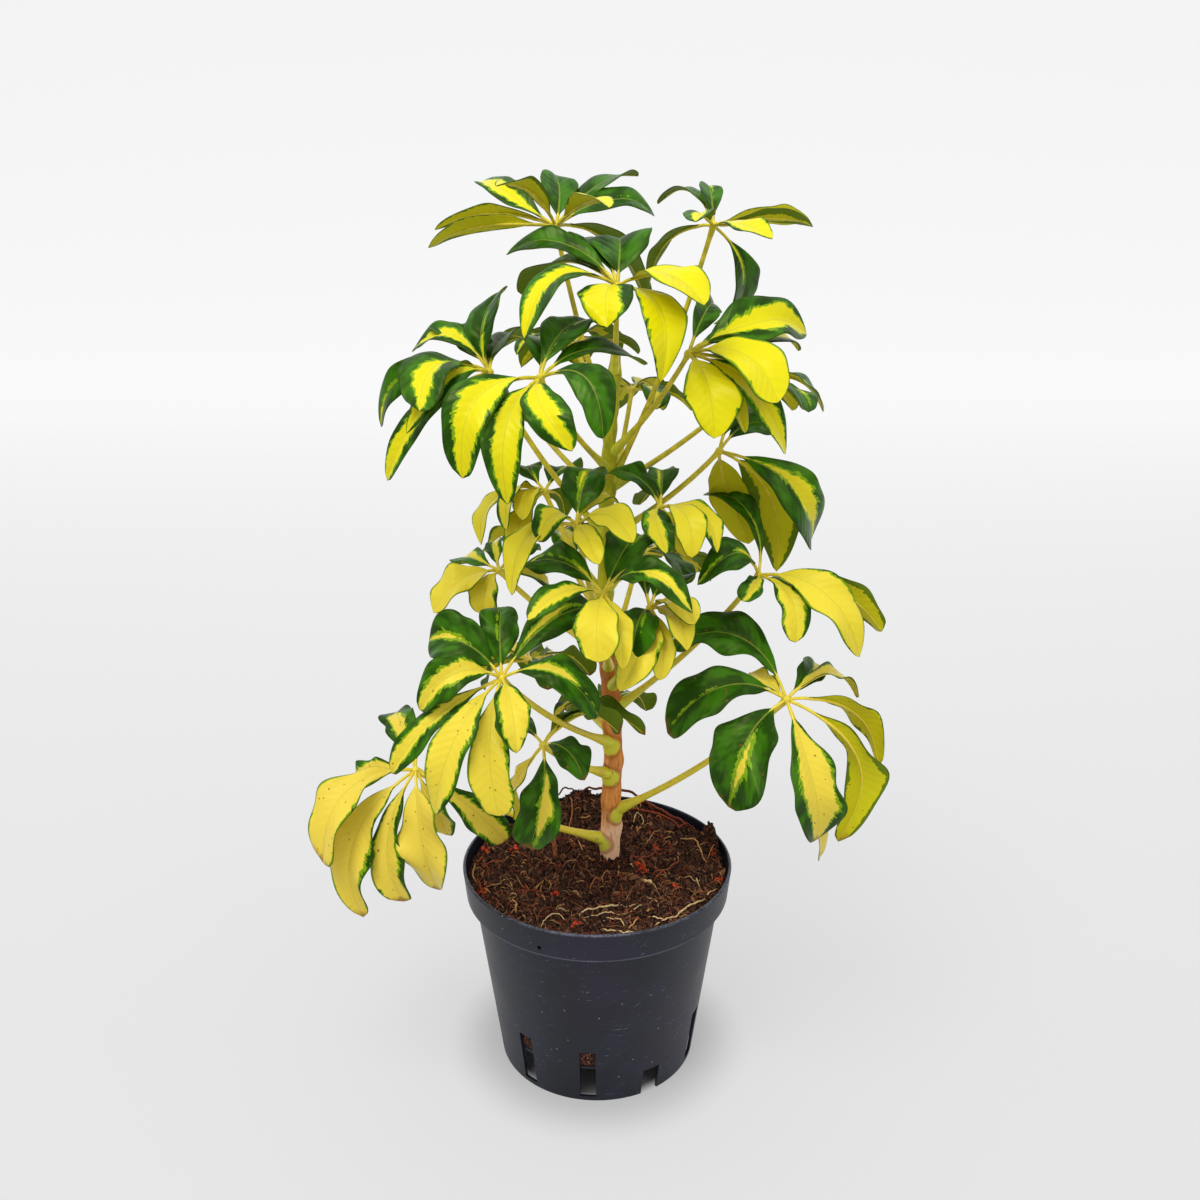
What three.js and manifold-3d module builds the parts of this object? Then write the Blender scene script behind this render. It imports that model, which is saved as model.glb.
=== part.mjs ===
// A variegated dwarf umbrella tree in a black nursery pot.
// Millimetres, +Z up, the front towards -Y. Every place below is given from the pot's axis at the
// ground. At the end the plant is moved so that the origin lies under the middle of its whole box.
import * as THREE from "three";
import { mergeVertices } from "three/addons/utils/BufferGeometryUtils.js";
import Module from "manifold-3d";

const wasm = await Module();
wasm.setup();

// Clearance kept where one piece touches another
const GAP = 0.3;

// Edges shorter than this, left where leaflets join, are merged away
const MERGE_DISTANCE = 0.1;

// Pot: a tapered wall on its own rim of plastic, a raised floor and a stepped-out rim band
const POT = {
  height: 150,
  rimRadius: 95,
  bandHeight: 21,
  bandFootRadius: 92.8,
  shoulderRadius: 87.4,
  baseRadius: 70.4,
  wall: 2,
  floorUnderside: 28,
  lipRounding: 1,
  sides: 40,
};
const SHOULDER_HEIGHT = POT.height - POT.bandHeight;

// Drain slots round the foot of the wall, counted from the front; two are notches open at the bottom
const SLOTS = { count: 10, firstDegrees: -5, width: 11, bottom: 3.6, top: 44 };
const NOTCHES = { places: [1, 6], width: 13, top: 21 };
const CUTTER_DEPTH = 12;

// Soil: rough peat, low at the front, heaped at the back, with a crumbly peak at the right
const SOIL = {
  top: 141,
  backwardSlope: 0.045,
  ringRadii: [72, 50, 30],
  sides: 24,
  lumpHeight: 1.3,
};
const SOIL_HEAPS = [
  { x: 20, y: 74, height: 5, reach: 30 },
  { x: 80, y: 30, height: 8, reach: 12 },
  { x: 9, y: 0, height: 4, reach: 22 },
];

// Trunk: the middle of the stem at each height, as [right, back, up], and its radius foot to tip
const TRUNK_LINE = [
  [9, 0, 100], [9, 0, 150], [10, -2, 200], [11, -4, 243], [9, -4, 280],
  [6, -3, 320], [5, -2, 350], [6, -1, 400], [8, 0, 450], [12, 1, 506],
];
const TRUNK = { footRadius: 7.4, tipRadius: 3, sides: 8, steps: 26, knot: 0.8, knotReach: 5 };

// Twig: a dead stub standing in the soil beside the trunk
const TWIG = { foot: [-30, 17, 124], tip: [-35, 16, 188], radius: 1.5, sides: 6 };

// Leaf stalks: thick where they clasp the trunk, thin along their length
const PETIOLE = { baseRadius: 2.6, radius: 1.45, sides: 5, steps: 5, spread: 0.1, sag: 0.04 };
const HUB_RADIUS = 3.4;

// Leaflets: a short stalk, then a blade widest past its middle, folded up along the midrib and waved
const LEAFLET = {
  stalkShare: 0.16,
  stalkHalfWidth: 0.8,
  stalkDepth: 1,
  stalkStart: 1,
  thickness: 0.8,
  baseTaper: 1.1,
  tipTaper: 0.6,
  fold: 0.22,
  wave: 0.1,
  waveRate: 11,
  sideShift: 1.7,
  rollDegrees: 7,
};
// Rings along a leaflet as shares of its length, for a narrow and for a wide blade
const NARROW_STATIONS = [LEAFLET.stalkShare, 0.4, 0.75, 1];
const WIDE_STATIONS = [LEAFLET.stalkShare, 0.36, 0.62, 0.86, 1];
const WIDE_BLADE = 25;

// Turn from one leaflet to the next and from one leaf to the next, which varies their waves
const LEAFLET_TURN = 2.4;
const LEAF_TURN = 1.3;

// Leaves from the top of the plant down, then the ones behind the trunk. Each leaves the trunk at a
// height and ends in a hub, where its leaflets meet, facing the given way. green is how green it is.
// A leaflet is [right, back, up] from hub to tip, then its blade's width and how far it arches.
const LEAVES = [
  { from: 457, hub: [-25, 20, 578], facing: [0, 0.12, 1], green: 0.7, leaflets: [
    [-51, 44, 30, 24, 0.2],
    [-76, 20, 1, 20, 0.2],
    [-75, -30, -11, 28, 0.25],
    [-35, -50, 18, 24, 0.2],
    [-1, 38, 31, 28, 0.2],
    [31, -52, 10, 26, 0.2],
    [49, 46, 35, 26, 0.2],
    [63, 30, 11, 24, 0.25],
    [56, 60, -25, 32, 0.35],
  ] },
  { from: 418, hub: [70, 5, 579], facing: [0, 0.05, 1], green: 0.6, leaflets: [
    [-28, 60, 18, 22, 0.2],
    [-2, 36, 24, 20, 0.2],
    [-11, -48, -6, 24, 0.3],
    [64, 35, 4, 24, 0.2],
    [53, -43, -2, 24, 0.3],
    [26, -54, -12, 22, 0.15],
    [26, 45, -54, 28, 0.45],
    [-30, 48, -21, 22, 0.3],
  ] },
  { from: 490, hub: [12, -40, 547], facing: [0.05, -0.5, 0.85], green: 0.6, leaflets: [
    [-65, 25, 22, 26, 0.25],
    [9, 45, 26, 32, 0.3],
    [-50, -45, -23, 30, 0.45],
    [-6, -44, -18, 30, 0.28],
    [45, -45, -7, 32, 0.3],
    [25, -50, -46, 28, 0.4],
    [-58, 55, -6, 28, 0.35],
    [-27, 50, 26, 22, 0.25],
  ] },
  { from: 440, hub: [54, -35, 508], facing: [0.35, -0.35, 0.87], green: 0.5, leaflets: [
    [73, 25, 16, 34, 0.3],
    [52, 6, -6, 28, 0.5],
    [76, 48, -18, 24, 0.35],
    [49, -40, -20, 36, 0.35],
    [13, -40, -42, 34, 0.35],
    [73, 18, -36, 24, 0.2],
    [58, -25, -52, 24, 0.35],
    [34, -24, -40, 18, 0.2],
    [22, 48, 26, 20, 0.3],
  ] },
  { from: 388, hub: [-63, -40, 498], facing: [-0.3, -0.35, 0.88], green: 0.6, leaflets: [
    [-70, 5, -28, 24, 0.35],
    [-57, -35, -55, 26, 0.3],
    [-42, -44, -26, 22, 0.45],
    [-36, -50, -12, 32, 0.45],
    [-50, 30, 8, 24, 0.35],
    [-34, 40, 20, 24, 0.3],
    [-22, 56, 14, 22, 0.15],
    [6, 22, 46, 30, 0.25],
    [21, 45, 17, 24, 0.3],
  ] },
  { from: 432, hub: [-31, -85, 501], facing: [0, -0.6, 0.8], green: 0.7, leaflets: [
    [-40, -42, -42, 34, 0.45],
    [-19, -45, -56, 28, 0.35],
    [16, -45, -28, 28, 0.28],
    [35, -38, -24, 26, 0.5],
    [30, 45, 26, 30, 0.3],
    [58, 36, 4, 24, 0.25],
    [-5, 45, 17, 20, 0.3],
  ] },
  { from: 386, hub: [77, -5, 444], facing: [0.35, 0.1, 0.93], green: 0.6, leaflets: [
    [23, 30, -63, 30, 0.35],
    [42, 15, -78, 36, 0.4],
    [61, -5, -59, 32, 0.5],
    [48, 50, -3, 26, 0.3],
    [37, 55, 20, 26, 0.3],
  ] },
  { from: 266, hub: [103, -20, 367], facing: [0.3, -0.3, 0.9], green: 0.4, leaflets: [
    [-27, 50, 47, 20, 0.25],
    [-38, -36, 9, 26, 0.5],
    [20, -46, -24, 26, 0.3],
    [57, -45, -37, 34, 0.45],
    [79, -10, -32, 26, 0.25],
    [30, 54, -36, 22, 0.2],
    [-14, -28, -7, 14, 0.3],
  ] },
  { from: 313, hub: [-12, -60, 411], facing: [-0.1, -0.45, 0.88], green: 0.3, leaflets: [
    [8, 30, 30, 30, 0.25],
    [-21, -28, 2, 22, 0.45],
    [-37, -40, -26, 22, 0.4],
    [24, 35, 8, 20, 0.3],
    [31, -35, 0, 26, 0.35],
    [14, -38, -12, 16, 0.3],
  ] },
  { from: 296, hub: [4, -80, 374], facing: [0, -0.5, 0.86], green: 0.5, leaflets: [
    [-54, 30, 8, 30, 0.3],
    [22, 38, 30, 30, 0.25],
    [47, -35, 5, 26, 0.45],
    [-3, -42, -23, 28, 0.35],
    [12, -38, -30, 18, 0.3],
    [-43, -35, -1, 16, 0.3],
  ] },
  { from: 282, hub: [32, -70, 362], facing: [0.1, -0.4, 0.9], green: 0.4, leaflets: [
    [-12, -35, -15, 26, 0.35],
    [23, -32, 6, 20, 0.35],
    [21, -35, -9, 20, 0.35],
    [4, -38, -28, 14, 0.2],
    [-18, -40, -35, 24, 0.35],
    [-4, 42, 22, 20, 0.25],
    [26, 46, 2, 24, 0.3],
  ] },
  { from: 242, hub: [-56, -95, 327], facing: [-0.05, -0.75, 0.65], green: 0.5, leaflets: [
    [-45, 15, 18, 28, 0.4],
    [-1, 30, 36, 22, 0.25],
    [55, 35, 35, 26, 0.3],
    [57, -15, -5, 24, 0.45],
    [-46, -20, -8, 26, 0.5],
    [-63, -30, -46, 26, 0.2],
    [-35, -45, -65, 30, 0.4],
    [-2, -45, -66, 30, 0.3],
    [12, -45, -26, 26, 0.35],
  ] },
  { from: 165, hub: [-118, -45, 242], facing: [-0.35, -0.6, 0.72], green: 0.3, leaflets: [
    [-56, -45, -37, 36, 0.4],
    [-35, -45, -81, 30, 0.35],
    [-12, -42, -71, 28, 0.25],
    [13, -40, -65, 34, 0.4],
    [-20, 40, 25, 26, 0.3],
    [3, 38, 22, 20, 0.3],
    [-47, 25, -29, 24, 0.3],
    [21, -5, -45, 20, 0.3],
    [54, 15, -64, 24, 0.2],
  ] },
  { from: 218, hub: [-34, -60, 267], facing: [0, -0.3, 0.93], green: 0.7, leaflets: [
    [-13, -35, -50, 32, 0.35],
    [26, -30, -6, 22, 0.4],
    [47, 5, 9, 28, 0.5],
    [64, 22, 6, 22, 0.3],
    [-18, 10, -53, 26, 0.35],
    [-31, 40, -12, 22, 0.35],
  ] },
  { from: 188, hub: [119, -55, 296], facing: [0.25, -0.55, 0.8], green: 0.5, leaflets: [
    [-71, 30, 27, 32, 0.4],
    [-75, -20, -9, 28, 0.4],
    [-31, -35, -55, 34, 0.35],
    [31, -40, -75, 34, 0.3],
    [49, 5, -95, 30, 0.4],
    [68, 20, -48, 28, 0.4],
    [50, 32, -8, 24, 0.5],
    [26, 40, 9, 22, 0.3],
    [27, -10, -107, 22, 0.3],
    [-20, 25, 8, 14, 0.3],
  ] },
  { from: 306, hub: [-66, 25, 356], facing: [-0.25, -0.2, 0.93], green: 0.4, leaflets: [
    [-43, -25, -19, 28, 0.35],
    [-8, -25, -21, 20, 0.35],
    [-4, 30, 14, 14, 0.3],
    [-29, 40, -2, 22, 0.3],
    [20, 40, 8, 24, 0.3],
    [37, 30, -29, 24, 0.3],
  ] },
  { from: 345, hub: [-34, 15, 413], facing: [-0.2, -0.1, 0.97], green: 0.5, leaflets: [
    [-40, -35, -24, 22, 0.4],
    [-24, -40, -12, 20, 0.55],
    [-12, -36, -6, 18, 0.35],
    [-18, -38, -28, 18, 0.25],
    [13, 30, -21, 18, 0.3],
    [-16, 50, 5, 24, 0.3],
    [21, 45, 5, 24, 0.3],
  ] },
  { from: 350, hub: [39, -30, 414], facing: [0.1, -0.35, 0.93], green: 0.5, leaflets: [
    [-12, 44, -8, 20, 0.35],
    [2, -40, -16, 22, 0.3],
    [17, -38, -18, 22, 0.5],
    [34, -31, -16, 22, 0.35],
    [4, 42, 16, 20, 0.3],
    [-30, 12, 22, 20, 0.3],
    [18, -16, -26, 20, 0.35],
  ] },
  { from: 470, hub: [-15, 70, 500], facing: [0, 0.3, 0.95], green: 0.7, leaflets: [
    [44, 16, -6, 26, 0.3],
    [30, 52, -10, 26, 0.45],
    [2, 60, -16, 28, 0.28],
    [-38, 46, -14, 26, 0.45],
    [-60, 8, -6, 26, 0.3],
    [-38, -30, 4, 22, 0.3],
  ] },
  { from: 402, hub: [24, 84, 468], facing: [0.1, 0.35, 0.9], green: 0.6, leaflets: [
    [42, 4, -14, 26, 0.3],
    [26, 48, -20, 26, 0.45],
    [-14, 54, -20, 26, 0.35],
    [-36, 16, -8, 24, 0.3],
    [16, -36, -2, 22, 0.3],
  ] },
  { from: 325, hub: [-27, 85, 364], facing: [-0.1, 0.35, 0.9], green: 0.5, leaflets: [
    [-58, 10, -16, 26, 0.35],
    [-38, 44, -22, 28, 0.35],
    [4, 58, -26, 28, 0.35],
    [44, 38, -20, 26, 0.35],
    [8, -46, 2, 22, 0.3],
  ] },
  { from: 302, hub: [30, 80, 352], facing: [0.2, 0.35, 0.9], green: 0.6, leaflets: [
    [52, -8, -18, 26, 0.35],
    [44, 34, -24, 28, 0.35],
    [6, 56, -28, 28, 0.35],
    [30, -44, -6, 22, 0.3],
  ] },
  { from: 252, hub: [-48, 75, 270], facing: [-0.2, 0.4, 0.88], green: 0.6, leaflets: [
    [-58, 6, -14, 28, 0.45],
    [-40, 42, -24, 28, 0.35],
    [0, 56, -30, 28, 0.35],
    [42, 36, -22, 26, 0.35],
    [-34, -38, -2, 22, 0.3],
    [14, -44, 2, 22, 0.3],
  ] },
  { from: 205, hub: [10, 85, 232], facing: [0.1, 0.4, 0.9], green: 0.8, leaflets: [
    [28, 34, -20, 22, 0.45],
    [0, 46, -24, 24, 0.35],
    [-34, 30, -18, 24, 0.35],
    [-42, -6, -8, 22, 0.35],
  ] },
  { from: 412, hub: [-53, 70, 462], facing: [-0.3, 0.35, 0.9], green: 0.6, leaflets: [
    [-52, 6, -12, 26, 0.45],
    [-34, 42, -20, 26, 0.35],
    [6, 54, -24, 26, 0.35],
    [28, 42, -28, 24, 0.35],
    [-30, -36, 0, 22, 0.3],
  ] },
  { from: 418, hub: [104, 58, 478], facing: [0.4, 0.3, 0.87], green: 0.6, leaflets: [
    [50, 8, -20, 26, 0.45],
    [36, 42, -26, 26, 0.28],
    [0, 54, -22, 26, 0.35],
    [-30, 40, -8, 24, 0.35],
    [34, -32, -12, 22, 0.3],
  ] },
];

// Colours, as they look in daylight
const YELLOW = new THREE.Color("#e4d94c");
const GREEN = new THREE.Color("#2c6a2a");
const LOOKS = {
  pot: { color: "#2d2e38", roughness: 0.45, metalness: 0 },
  soil: { color: "#3a261c", roughness: 1, metalness: 0 },
  trunk: { color: "#8a6a45", roughness: 0.8, metalness: 0 },
  twig: { color: "#5a3d2a", roughness: 0.9, metalness: 0 },
};

const vector = (point) => new THREE.Vector3(...point);

// Turns a closed geometry into a solid that can be joined and cut
function solid(geometry) {
  geometry.deleteAttribute("normal");
  geometry.deleteAttribute("uv");
  const merged = mergeVertices(geometry);
  const corners = merged.index.array;
  const triangles = [];
  for (let i = 0; i < corners.length; i += 3) {
    const [a, b, c] = corners.slice(i, i + 3);
    if (a !== b && b !== c && c !== a) triangles.push(a, b, c);
  }
  return new wasm.Manifold(new wasm.Mesh({
    numProp: 3,
    vertProperties: merged.attributes.position.array,
    triVerts: new Uint32Array(triangles),
  }));
}

// Turns a solid into a named mesh with a material of its own
function mesh(name, body, look) {
  const { vertProperties, triVerts } = body.getMesh();
  const geometry = new THREE.BufferGeometry();
  geometry.setAttribute("position", new THREE.BufferAttribute(vertProperties, 3));
  geometry.setIndex(new THREE.BufferAttribute(triVerts, 1));
  geometry.computeVertexNormals();
  const result = new THREE.Mesh(geometry, new THREE.MeshStandardMaterial(look));
  result.name = name;
  return result;
}

// Closed skin over a row of rings that have the same number of points
function loft(rings) {
  const count = rings[0].length;
  const points = rings.flat();
  const index = [];
  for (let ring = 0; ring < rings.length - 1; ring++) {
    for (let j = 0; j < count; j++) {
      const here = ring * count + j;
      const beside = ring * count + (j + 1) % count;
      index.push(here, beside, here + count, beside, beside + count, here + count);
    }
  }
  const last = points.length - count;
  for (let j = 1; j < count - 1; j++) {
    index.push(0, j + 1, j);
    index.push(last, last + j, last + j + 1);
  }
  const geometry = new THREE.BufferGeometry().setFromPoints(points);
  geometry.setIndex(index);
  return geometry;
}

// Round bar along a curve, with a radius that may change from start to end
function bar(curve, radiusAt, sides, steps, reference) {
  const rings = [];
  for (let step = 0; step <= steps; step++) {
    const t = step / steps;
    const centre = curve.getPoint(t);
    const direction = curve.getTangent(t);
    const side = new THREE.Vector3().crossVectors(direction, reference).normalize();
    const face = new THREE.Vector3().crossVectors(side, direction);
    const ring = [];
    for (let j = 0; j < sides; j++) {
      const angle = -2 * Math.PI * j / sides;
      const point = centre.clone().addScaledVector(side, radiusAt(t) * Math.cos(angle));
      ring.push(point.addScaledVector(face, radiusAt(t) * Math.sin(angle)));
    }
    rings.push(ring);
  }
  return loft(rings);
}

// Body of revolution about Z from an outline of [radius, height] that starts and ends on the axis
function revolve(outline, sides) {
  const points = outline.map(([radius, height]) => new THREE.Vector2(radius, height));
  return new THREE.LatheGeometry(points, sides).rotateX(Math.PI / 2);
}

// Outer radius of the plain wall, below the rim band
function wallRadius(height) {
  return THREE.MathUtils.lerp(POT.baseRadius, POT.shoulderRadius, height / SHOULDER_HEIGHT);
}

// Inner radius of the pot at a height, where the band steps out above the shoulder
function innerRadius(height) {
  if (height <= SHOULDER_HEIGHT) return wallRadius(height) - POT.wall;
  const share = (height - SHOULDER_HEIGHT) / POT.bandHeight;
  return THREE.MathUtils.lerp(POT.bandFootRadius, POT.rimRadius, share) - POT.wall;
}

function potBody() {
  const floorTop = POT.floorUnderside + POT.wall;
  const stepTop = SHOULDER_HEIGHT + POT.wall;
  const lip = POT.lipRounding;
  const shell = solid(revolve([
    [0, POT.floorUnderside],
    [innerRadius(POT.floorUnderside), POT.floorUnderside],
    [innerRadius(0), 0],
    [POT.baseRadius, 0],
    [POT.shoulderRadius, SHOULDER_HEIGHT],
    [POT.bandFootRadius, SHOULDER_HEIGHT],
    [POT.rimRadius, POT.height - lip],
    [POT.rimRadius - lip, POT.height],
    [innerRadius(POT.height), POT.height],
    [innerRadius(stepTop), stepTop],
    [innerRadius(SHOULDER_HEIGHT), stepTop],
    [innerRadius(floorTop), floorTop],
    [0, floorTop],
  ], POT.sides));

  const cutters = [];
  for (let place = 0; place < SLOTS.count; place++) {
    const open = NOTCHES.places.includes(place);
    const width = open ? NOTCHES.width : SLOTS.width;
    const bottom = open ? -SLOTS.bottom : SLOTS.bottom;
    const top = open ? NOTCHES.top : SLOTS.top;
    const middle = (bottom + top) / 2;
    const turn = THREE.MathUtils.degToRad(SLOTS.firstDegrees + 360 * place / SLOTS.count);
    const cutter = new THREE.BoxGeometry(width, CUTTER_DEPTH, top - bottom);
    cutter.translate(0, -wallRadius(middle), middle).rotateZ(turn);
    cutters.push(solid(cutter));
  }
  return cutters.reduce((body, cutter) => body.subtract(cutter), shell);
}

// Height of the soil's surface, with its heaps and lumps
function soilHeight(x, y) {
  let height = SOIL.top + SOIL.backwardSlope * y;
  for (const heap of SOIL_HEAPS) {
    const away = Math.hypot(x - heap.x, y - heap.y) / heap.reach;
    height += heap.height * Math.exp(-away * away);
  }
  return height + SOIL.lumpHeight * Math.sin(0.13 * x + 2) * Math.cos(0.17 * y + 0.09 * x);
}

function soilBody() {
  const bottom = POT.floorUnderside + POT.wall + GAP;
  const step = SHOULDER_HEIGHT + POT.wall + GAP;
  const radiusAt = (height) => innerRadius(height) * Math.cos(Math.PI / POT.sides) - GAP;
  const geometry = revolve([
    [0, bottom],
    [radiusAt(bottom), bottom],
    [radiusAt(SHOULDER_HEIGHT), SHOULDER_HEIGHT],
    [radiusAt(SHOULDER_HEIGHT), step],
    [radiusAt(step), step],
    [radiusAt(step), SOIL.top],
    ...SOIL.ringRadii.map((radius) => [radius, SOIL.top]),
    [0, SOIL.top],
  ], SOIL.sides);

  const place = geometry.attributes.position;
  for (let i = 0; i < place.count; i++) {
    if (place.getZ(i) > SOIL.top - GAP) place.setZ(i, soilHeight(place.getX(i), place.getY(i)));
  }
  return solid(geometry).subtract(trunkBody(GAP)).subtract(twigBody(GAP));
}

const trunkMiddle = new THREE.LinearInterpolant(
  TRUNK_LINE.map((point) => point[2]),
  TRUNK_LINE.flatMap((point) => [point[0], point[1]]),
  2,
);
const TRUNK_FOOT = TRUNK_LINE[0][2];
const TRUNK_TIP = TRUNK_LINE[TRUNK_LINE.length - 1][2];

function trunkPoint(height) {
  const [x, y] = trunkMiddle.evaluate(height);
  return new THREE.Vector3(x, y, height);
}

// Tapered stem with a knot where each leaf leaves it, grown on every side by the clearance given
function trunkBody(clearance) {
  const curve = new THREE.CatmullRomCurve3(TRUNK_LINE.map(vector));
  const radiusAt = (t) => {
    const height = curve.getPoint(t).z;
    const share = (height - TRUNK_FOOT) / (TRUNK_TIP - TRUNK_FOOT);
    let radius = THREE.MathUtils.lerp(TRUNK.footRadius, TRUNK.tipRadius, share);
    for (const leaf of LEAVES) {
      radius += TRUNK.knot * Math.exp(-(((height - leaf.from) / TRUNK.knotReach) ** 2));
    }
    return radius + clearance;
  };
  return solid(bar(curve, radiusAt, TRUNK.sides, TRUNK.steps, new THREE.Vector3(0, 1, 0)));
}

function twigBody(clearance) {
  const curve = new THREE.LineCurve3(vector(TWIG.foot), vector(TWIG.tip));
  const radiusAt = () => TWIG.radius + clearance;
  return solid(bar(curve, radiusAt, TWIG.sides, 1, new THREE.Vector3(0, 1, 0)));
}

// Half of a blade's width as a share of its widest, along the leaflet from hub to tip
function outline(share) {
  const { stalkShare, baseTaper, tipTaper } = LEAFLET;
  const shape = (u) => u ** baseTaper * (1 - u) ** tipTaper;
  const along = Math.max(0, (share - stalkShare) / (1 - stalkShare));
  return shape(along) / shape(baseTaper / (baseTaper + tipTaper));
}

// One leaflet: rings of six points, three over and three under, from the hub to an edge at the tip
function leafletBody(hub, facing, [right, back, up, width, arch], turn) {
  const chord = new THREE.Vector3(right, back, up);
  const along = chord.clone().normalize();
  const bow = facing.clone().addScaledVector(along, -facing.dot(along)).normalize();
  const side = new THREE.Vector3().crossVectors(along, bow);
  const middle = hub.clone().addScaledVector(chord, 0.5).addScaledVector(bow, arch * chord.length());
  const midrib = new THREE.QuadraticBezierCurve3(hub, middle, hub.clone().add(chord));
  const roll = THREE.MathUtils.degToRad(LEAFLET.rollDegrees) * Math.sin(2 * turn);
  const start = LEAFLET.stalkStart / chord.length();
  const stations = width >= WIDE_BLADE ? WIDE_STATIONS : NARROW_STATIONS;

  const rings = [start, ...stations].map((share) => {
    const centre = midrib.getPoint(share);
    const face = new THREE.Vector3().crossVectors(side, midrib.getTangent(share)).normalize();
    const onStalk = share <= LEAFLET.stalkShare;
    const half = share === 1 ? 0 : Math.max(outline(share) * width / 2, LEAFLET.stalkHalfWidth);
    const pointAt = (across, over) => {
      const wave = LEAFLET.wave * Math.sin(LEAFLET.waveRate * share + turn + LEAFLET.sideShift * across);
      const lift = half * (Math.abs(across) * (LEAFLET.fold + wave) + across * Math.sin(roll));
      const point = centre.clone().addScaledVector(side, half * across * Math.cos(roll));
      return point.addScaledVector(face, lift + over * LEAFLET.thickness / 2);
    };
    if (onStalk) {
      const under = centre.addScaledVector(face, -LEAFLET.stalkDepth);
      return [pointAt(-1, 1), pointAt(-1, 1), pointAt(1, 1), under, under, under];
    }
    return [pointAt(-1, 1), pointAt(0, 1), pointAt(1, 1), pointAt(1, -1), pointAt(0, -1), pointAt(-1, -1)];
  });
  return solid(loft(rings));
}

// Stalk from inside the trunk up to the hub
function petioleBody(start, hub) {
  const reach = hub.clone().sub(start);
  const outward = new THREE.Vector3(reach.x, reach.y, 0);
  const middle = start.clone().addScaledVector(reach, 0.5).addScaledVector(outward, PETIOLE.spread);
  middle.z -= PETIOLE.sag * reach.length();
  const curve = new THREE.QuadraticBezierCurve3(start, middle, hub);
  const radiusAt = (t) => THREE.MathUtils.lerp(PETIOLE.baseRadius, PETIOLE.radius, Math.min(1, 4 * t));
  return solid(bar(curve, radiusAt, PETIOLE.sides, PETIOLE.steps, new THREE.Vector3(0, 0, 1)));
}

// A whole leaf in one piece, trimmed clear of the trunk that it clasps
function leafBody(leaf, number, trunkClearance) {
  const hub = vector(leaf.hub);
  const facing = vector(leaf.facing).normalize();
  const knob = new THREE.IcosahedronGeometry(HUB_RADIUS, 0).translate(...leaf.hub);
  const blades = leaf.leaflets.map((row, place) => (
    leafletBody(hub, facing, row, LEAFLET_TURN * place + LEAF_TURN * number)
  ));
  const parts = [petioleBody(trunkPoint(leaf.from), hub), solid(knob), ...blades];
  return wasm.Manifold.union(parts).subtract(trunkClearance).simplify(MERGE_DISTANCE);
}

const plant = new THREE.Group();
plant.add(mesh("pot", potBody(), LOOKS.pot));
plant.add(mesh("soil", soilBody(), LOOKS.soil));
plant.add(mesh("trunk", trunkBody(0), LOOKS.trunk));
plant.add(mesh("twig", twigBody(0), LOOKS.twig));

const trunkClearance = trunkBody(GAP);
LEAVES.forEach((leaf, index) => {
  const number = index + 1;
  const color = YELLOW.clone().lerp(GREEN, leaf.green);
  const name = `leaf_${String(number).padStart(2, "0")}`;
  const body = leafBody(leaf, number, trunkClearance);
  plant.add(mesh(name, body, { color, roughness: 0.4, metalness: 0 }));
});

const box = new THREE.Box3().setFromObject(plant);
plant.position.set(-(box.min.x + box.max.x) / 2, -(box.min.y + box.max.y) / 2, 0);

export default plant;
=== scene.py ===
# A variegated dwarf umbrella tree in a black nursery pot.
# The frame gives every place in metres, Z up, the front towards -Y. The lists below give places and
# sizes in millimetres from the pot's axis at the ground, as [right, back, up].
import math

import bmesh
import bpy
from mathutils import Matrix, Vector


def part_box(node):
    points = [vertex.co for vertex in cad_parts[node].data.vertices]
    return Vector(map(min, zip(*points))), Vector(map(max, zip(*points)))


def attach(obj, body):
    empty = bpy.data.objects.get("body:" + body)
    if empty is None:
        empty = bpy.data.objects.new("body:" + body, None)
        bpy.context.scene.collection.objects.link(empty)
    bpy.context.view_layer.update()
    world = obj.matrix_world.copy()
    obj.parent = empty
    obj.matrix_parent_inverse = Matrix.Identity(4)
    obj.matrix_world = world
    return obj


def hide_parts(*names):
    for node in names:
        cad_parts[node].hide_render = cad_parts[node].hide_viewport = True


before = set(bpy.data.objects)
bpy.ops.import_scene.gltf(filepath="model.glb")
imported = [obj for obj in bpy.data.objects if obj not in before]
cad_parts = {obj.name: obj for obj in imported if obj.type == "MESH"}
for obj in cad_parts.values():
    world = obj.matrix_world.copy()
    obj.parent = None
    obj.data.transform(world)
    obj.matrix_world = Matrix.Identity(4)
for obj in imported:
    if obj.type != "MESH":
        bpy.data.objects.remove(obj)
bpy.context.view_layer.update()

# Camera, floor and light
# The camera stands in front of the pot at eye height over a bench and looks down on it. A pale sheet
# lies under the pot and sweeps up behind it, and wide soft light comes from above and the left.
MM = 0.001
POT_LOW, POT_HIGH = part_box("pot")
AXIS = Vector(((POT_LOW.x + POT_HIGH.x) / 2, (POT_LOW.y + POT_HIGH.y) / 2, 0))
CAMERA_PLACE = (2, -749, 597)
CAMERA_DOWN = 18.7
FOCAL_LENGTH = 36
SENSOR_WIDTH = 36
SHEET_COLOUR = "#7d7d7e"
# The sheet glows with painted light, and under and beside the pot its glow is dimmed into a painted
# shadow.
SHEET_GLOW = {"front": 0.5, "back": 0.72}
SHEET_GLOW_REACH = 3.0
SHADE_UNDER = (0.062, 0.071)
SHADE_BESIDE = (0.07, 0.115)
SHADE_LEFT = 0.62
SHEET_HALF_WIDTH = 6.0
SHEET_FRONT = -4.0
SHEET_BEND = 2.6
SHEET_BEND_RADIUS = 1.6
SHEET_BEND_STEPS = 24
SHEET_TOP = 5.0
SKY_ABOVE = 1.15
SKY_LEVEL = 0.32
SKY_CHANGE = (-0.1, 0.9)
KEY_LIGHT = {"place": (-500, -900, 2100), "size": 0.9, "watts": 22}
FILL_LIGHT = {"place": (1300, -1300, 1500), "size": 1.2, "watts": 5}
LIGHT_AIM = (0, 0, 300)

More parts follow.
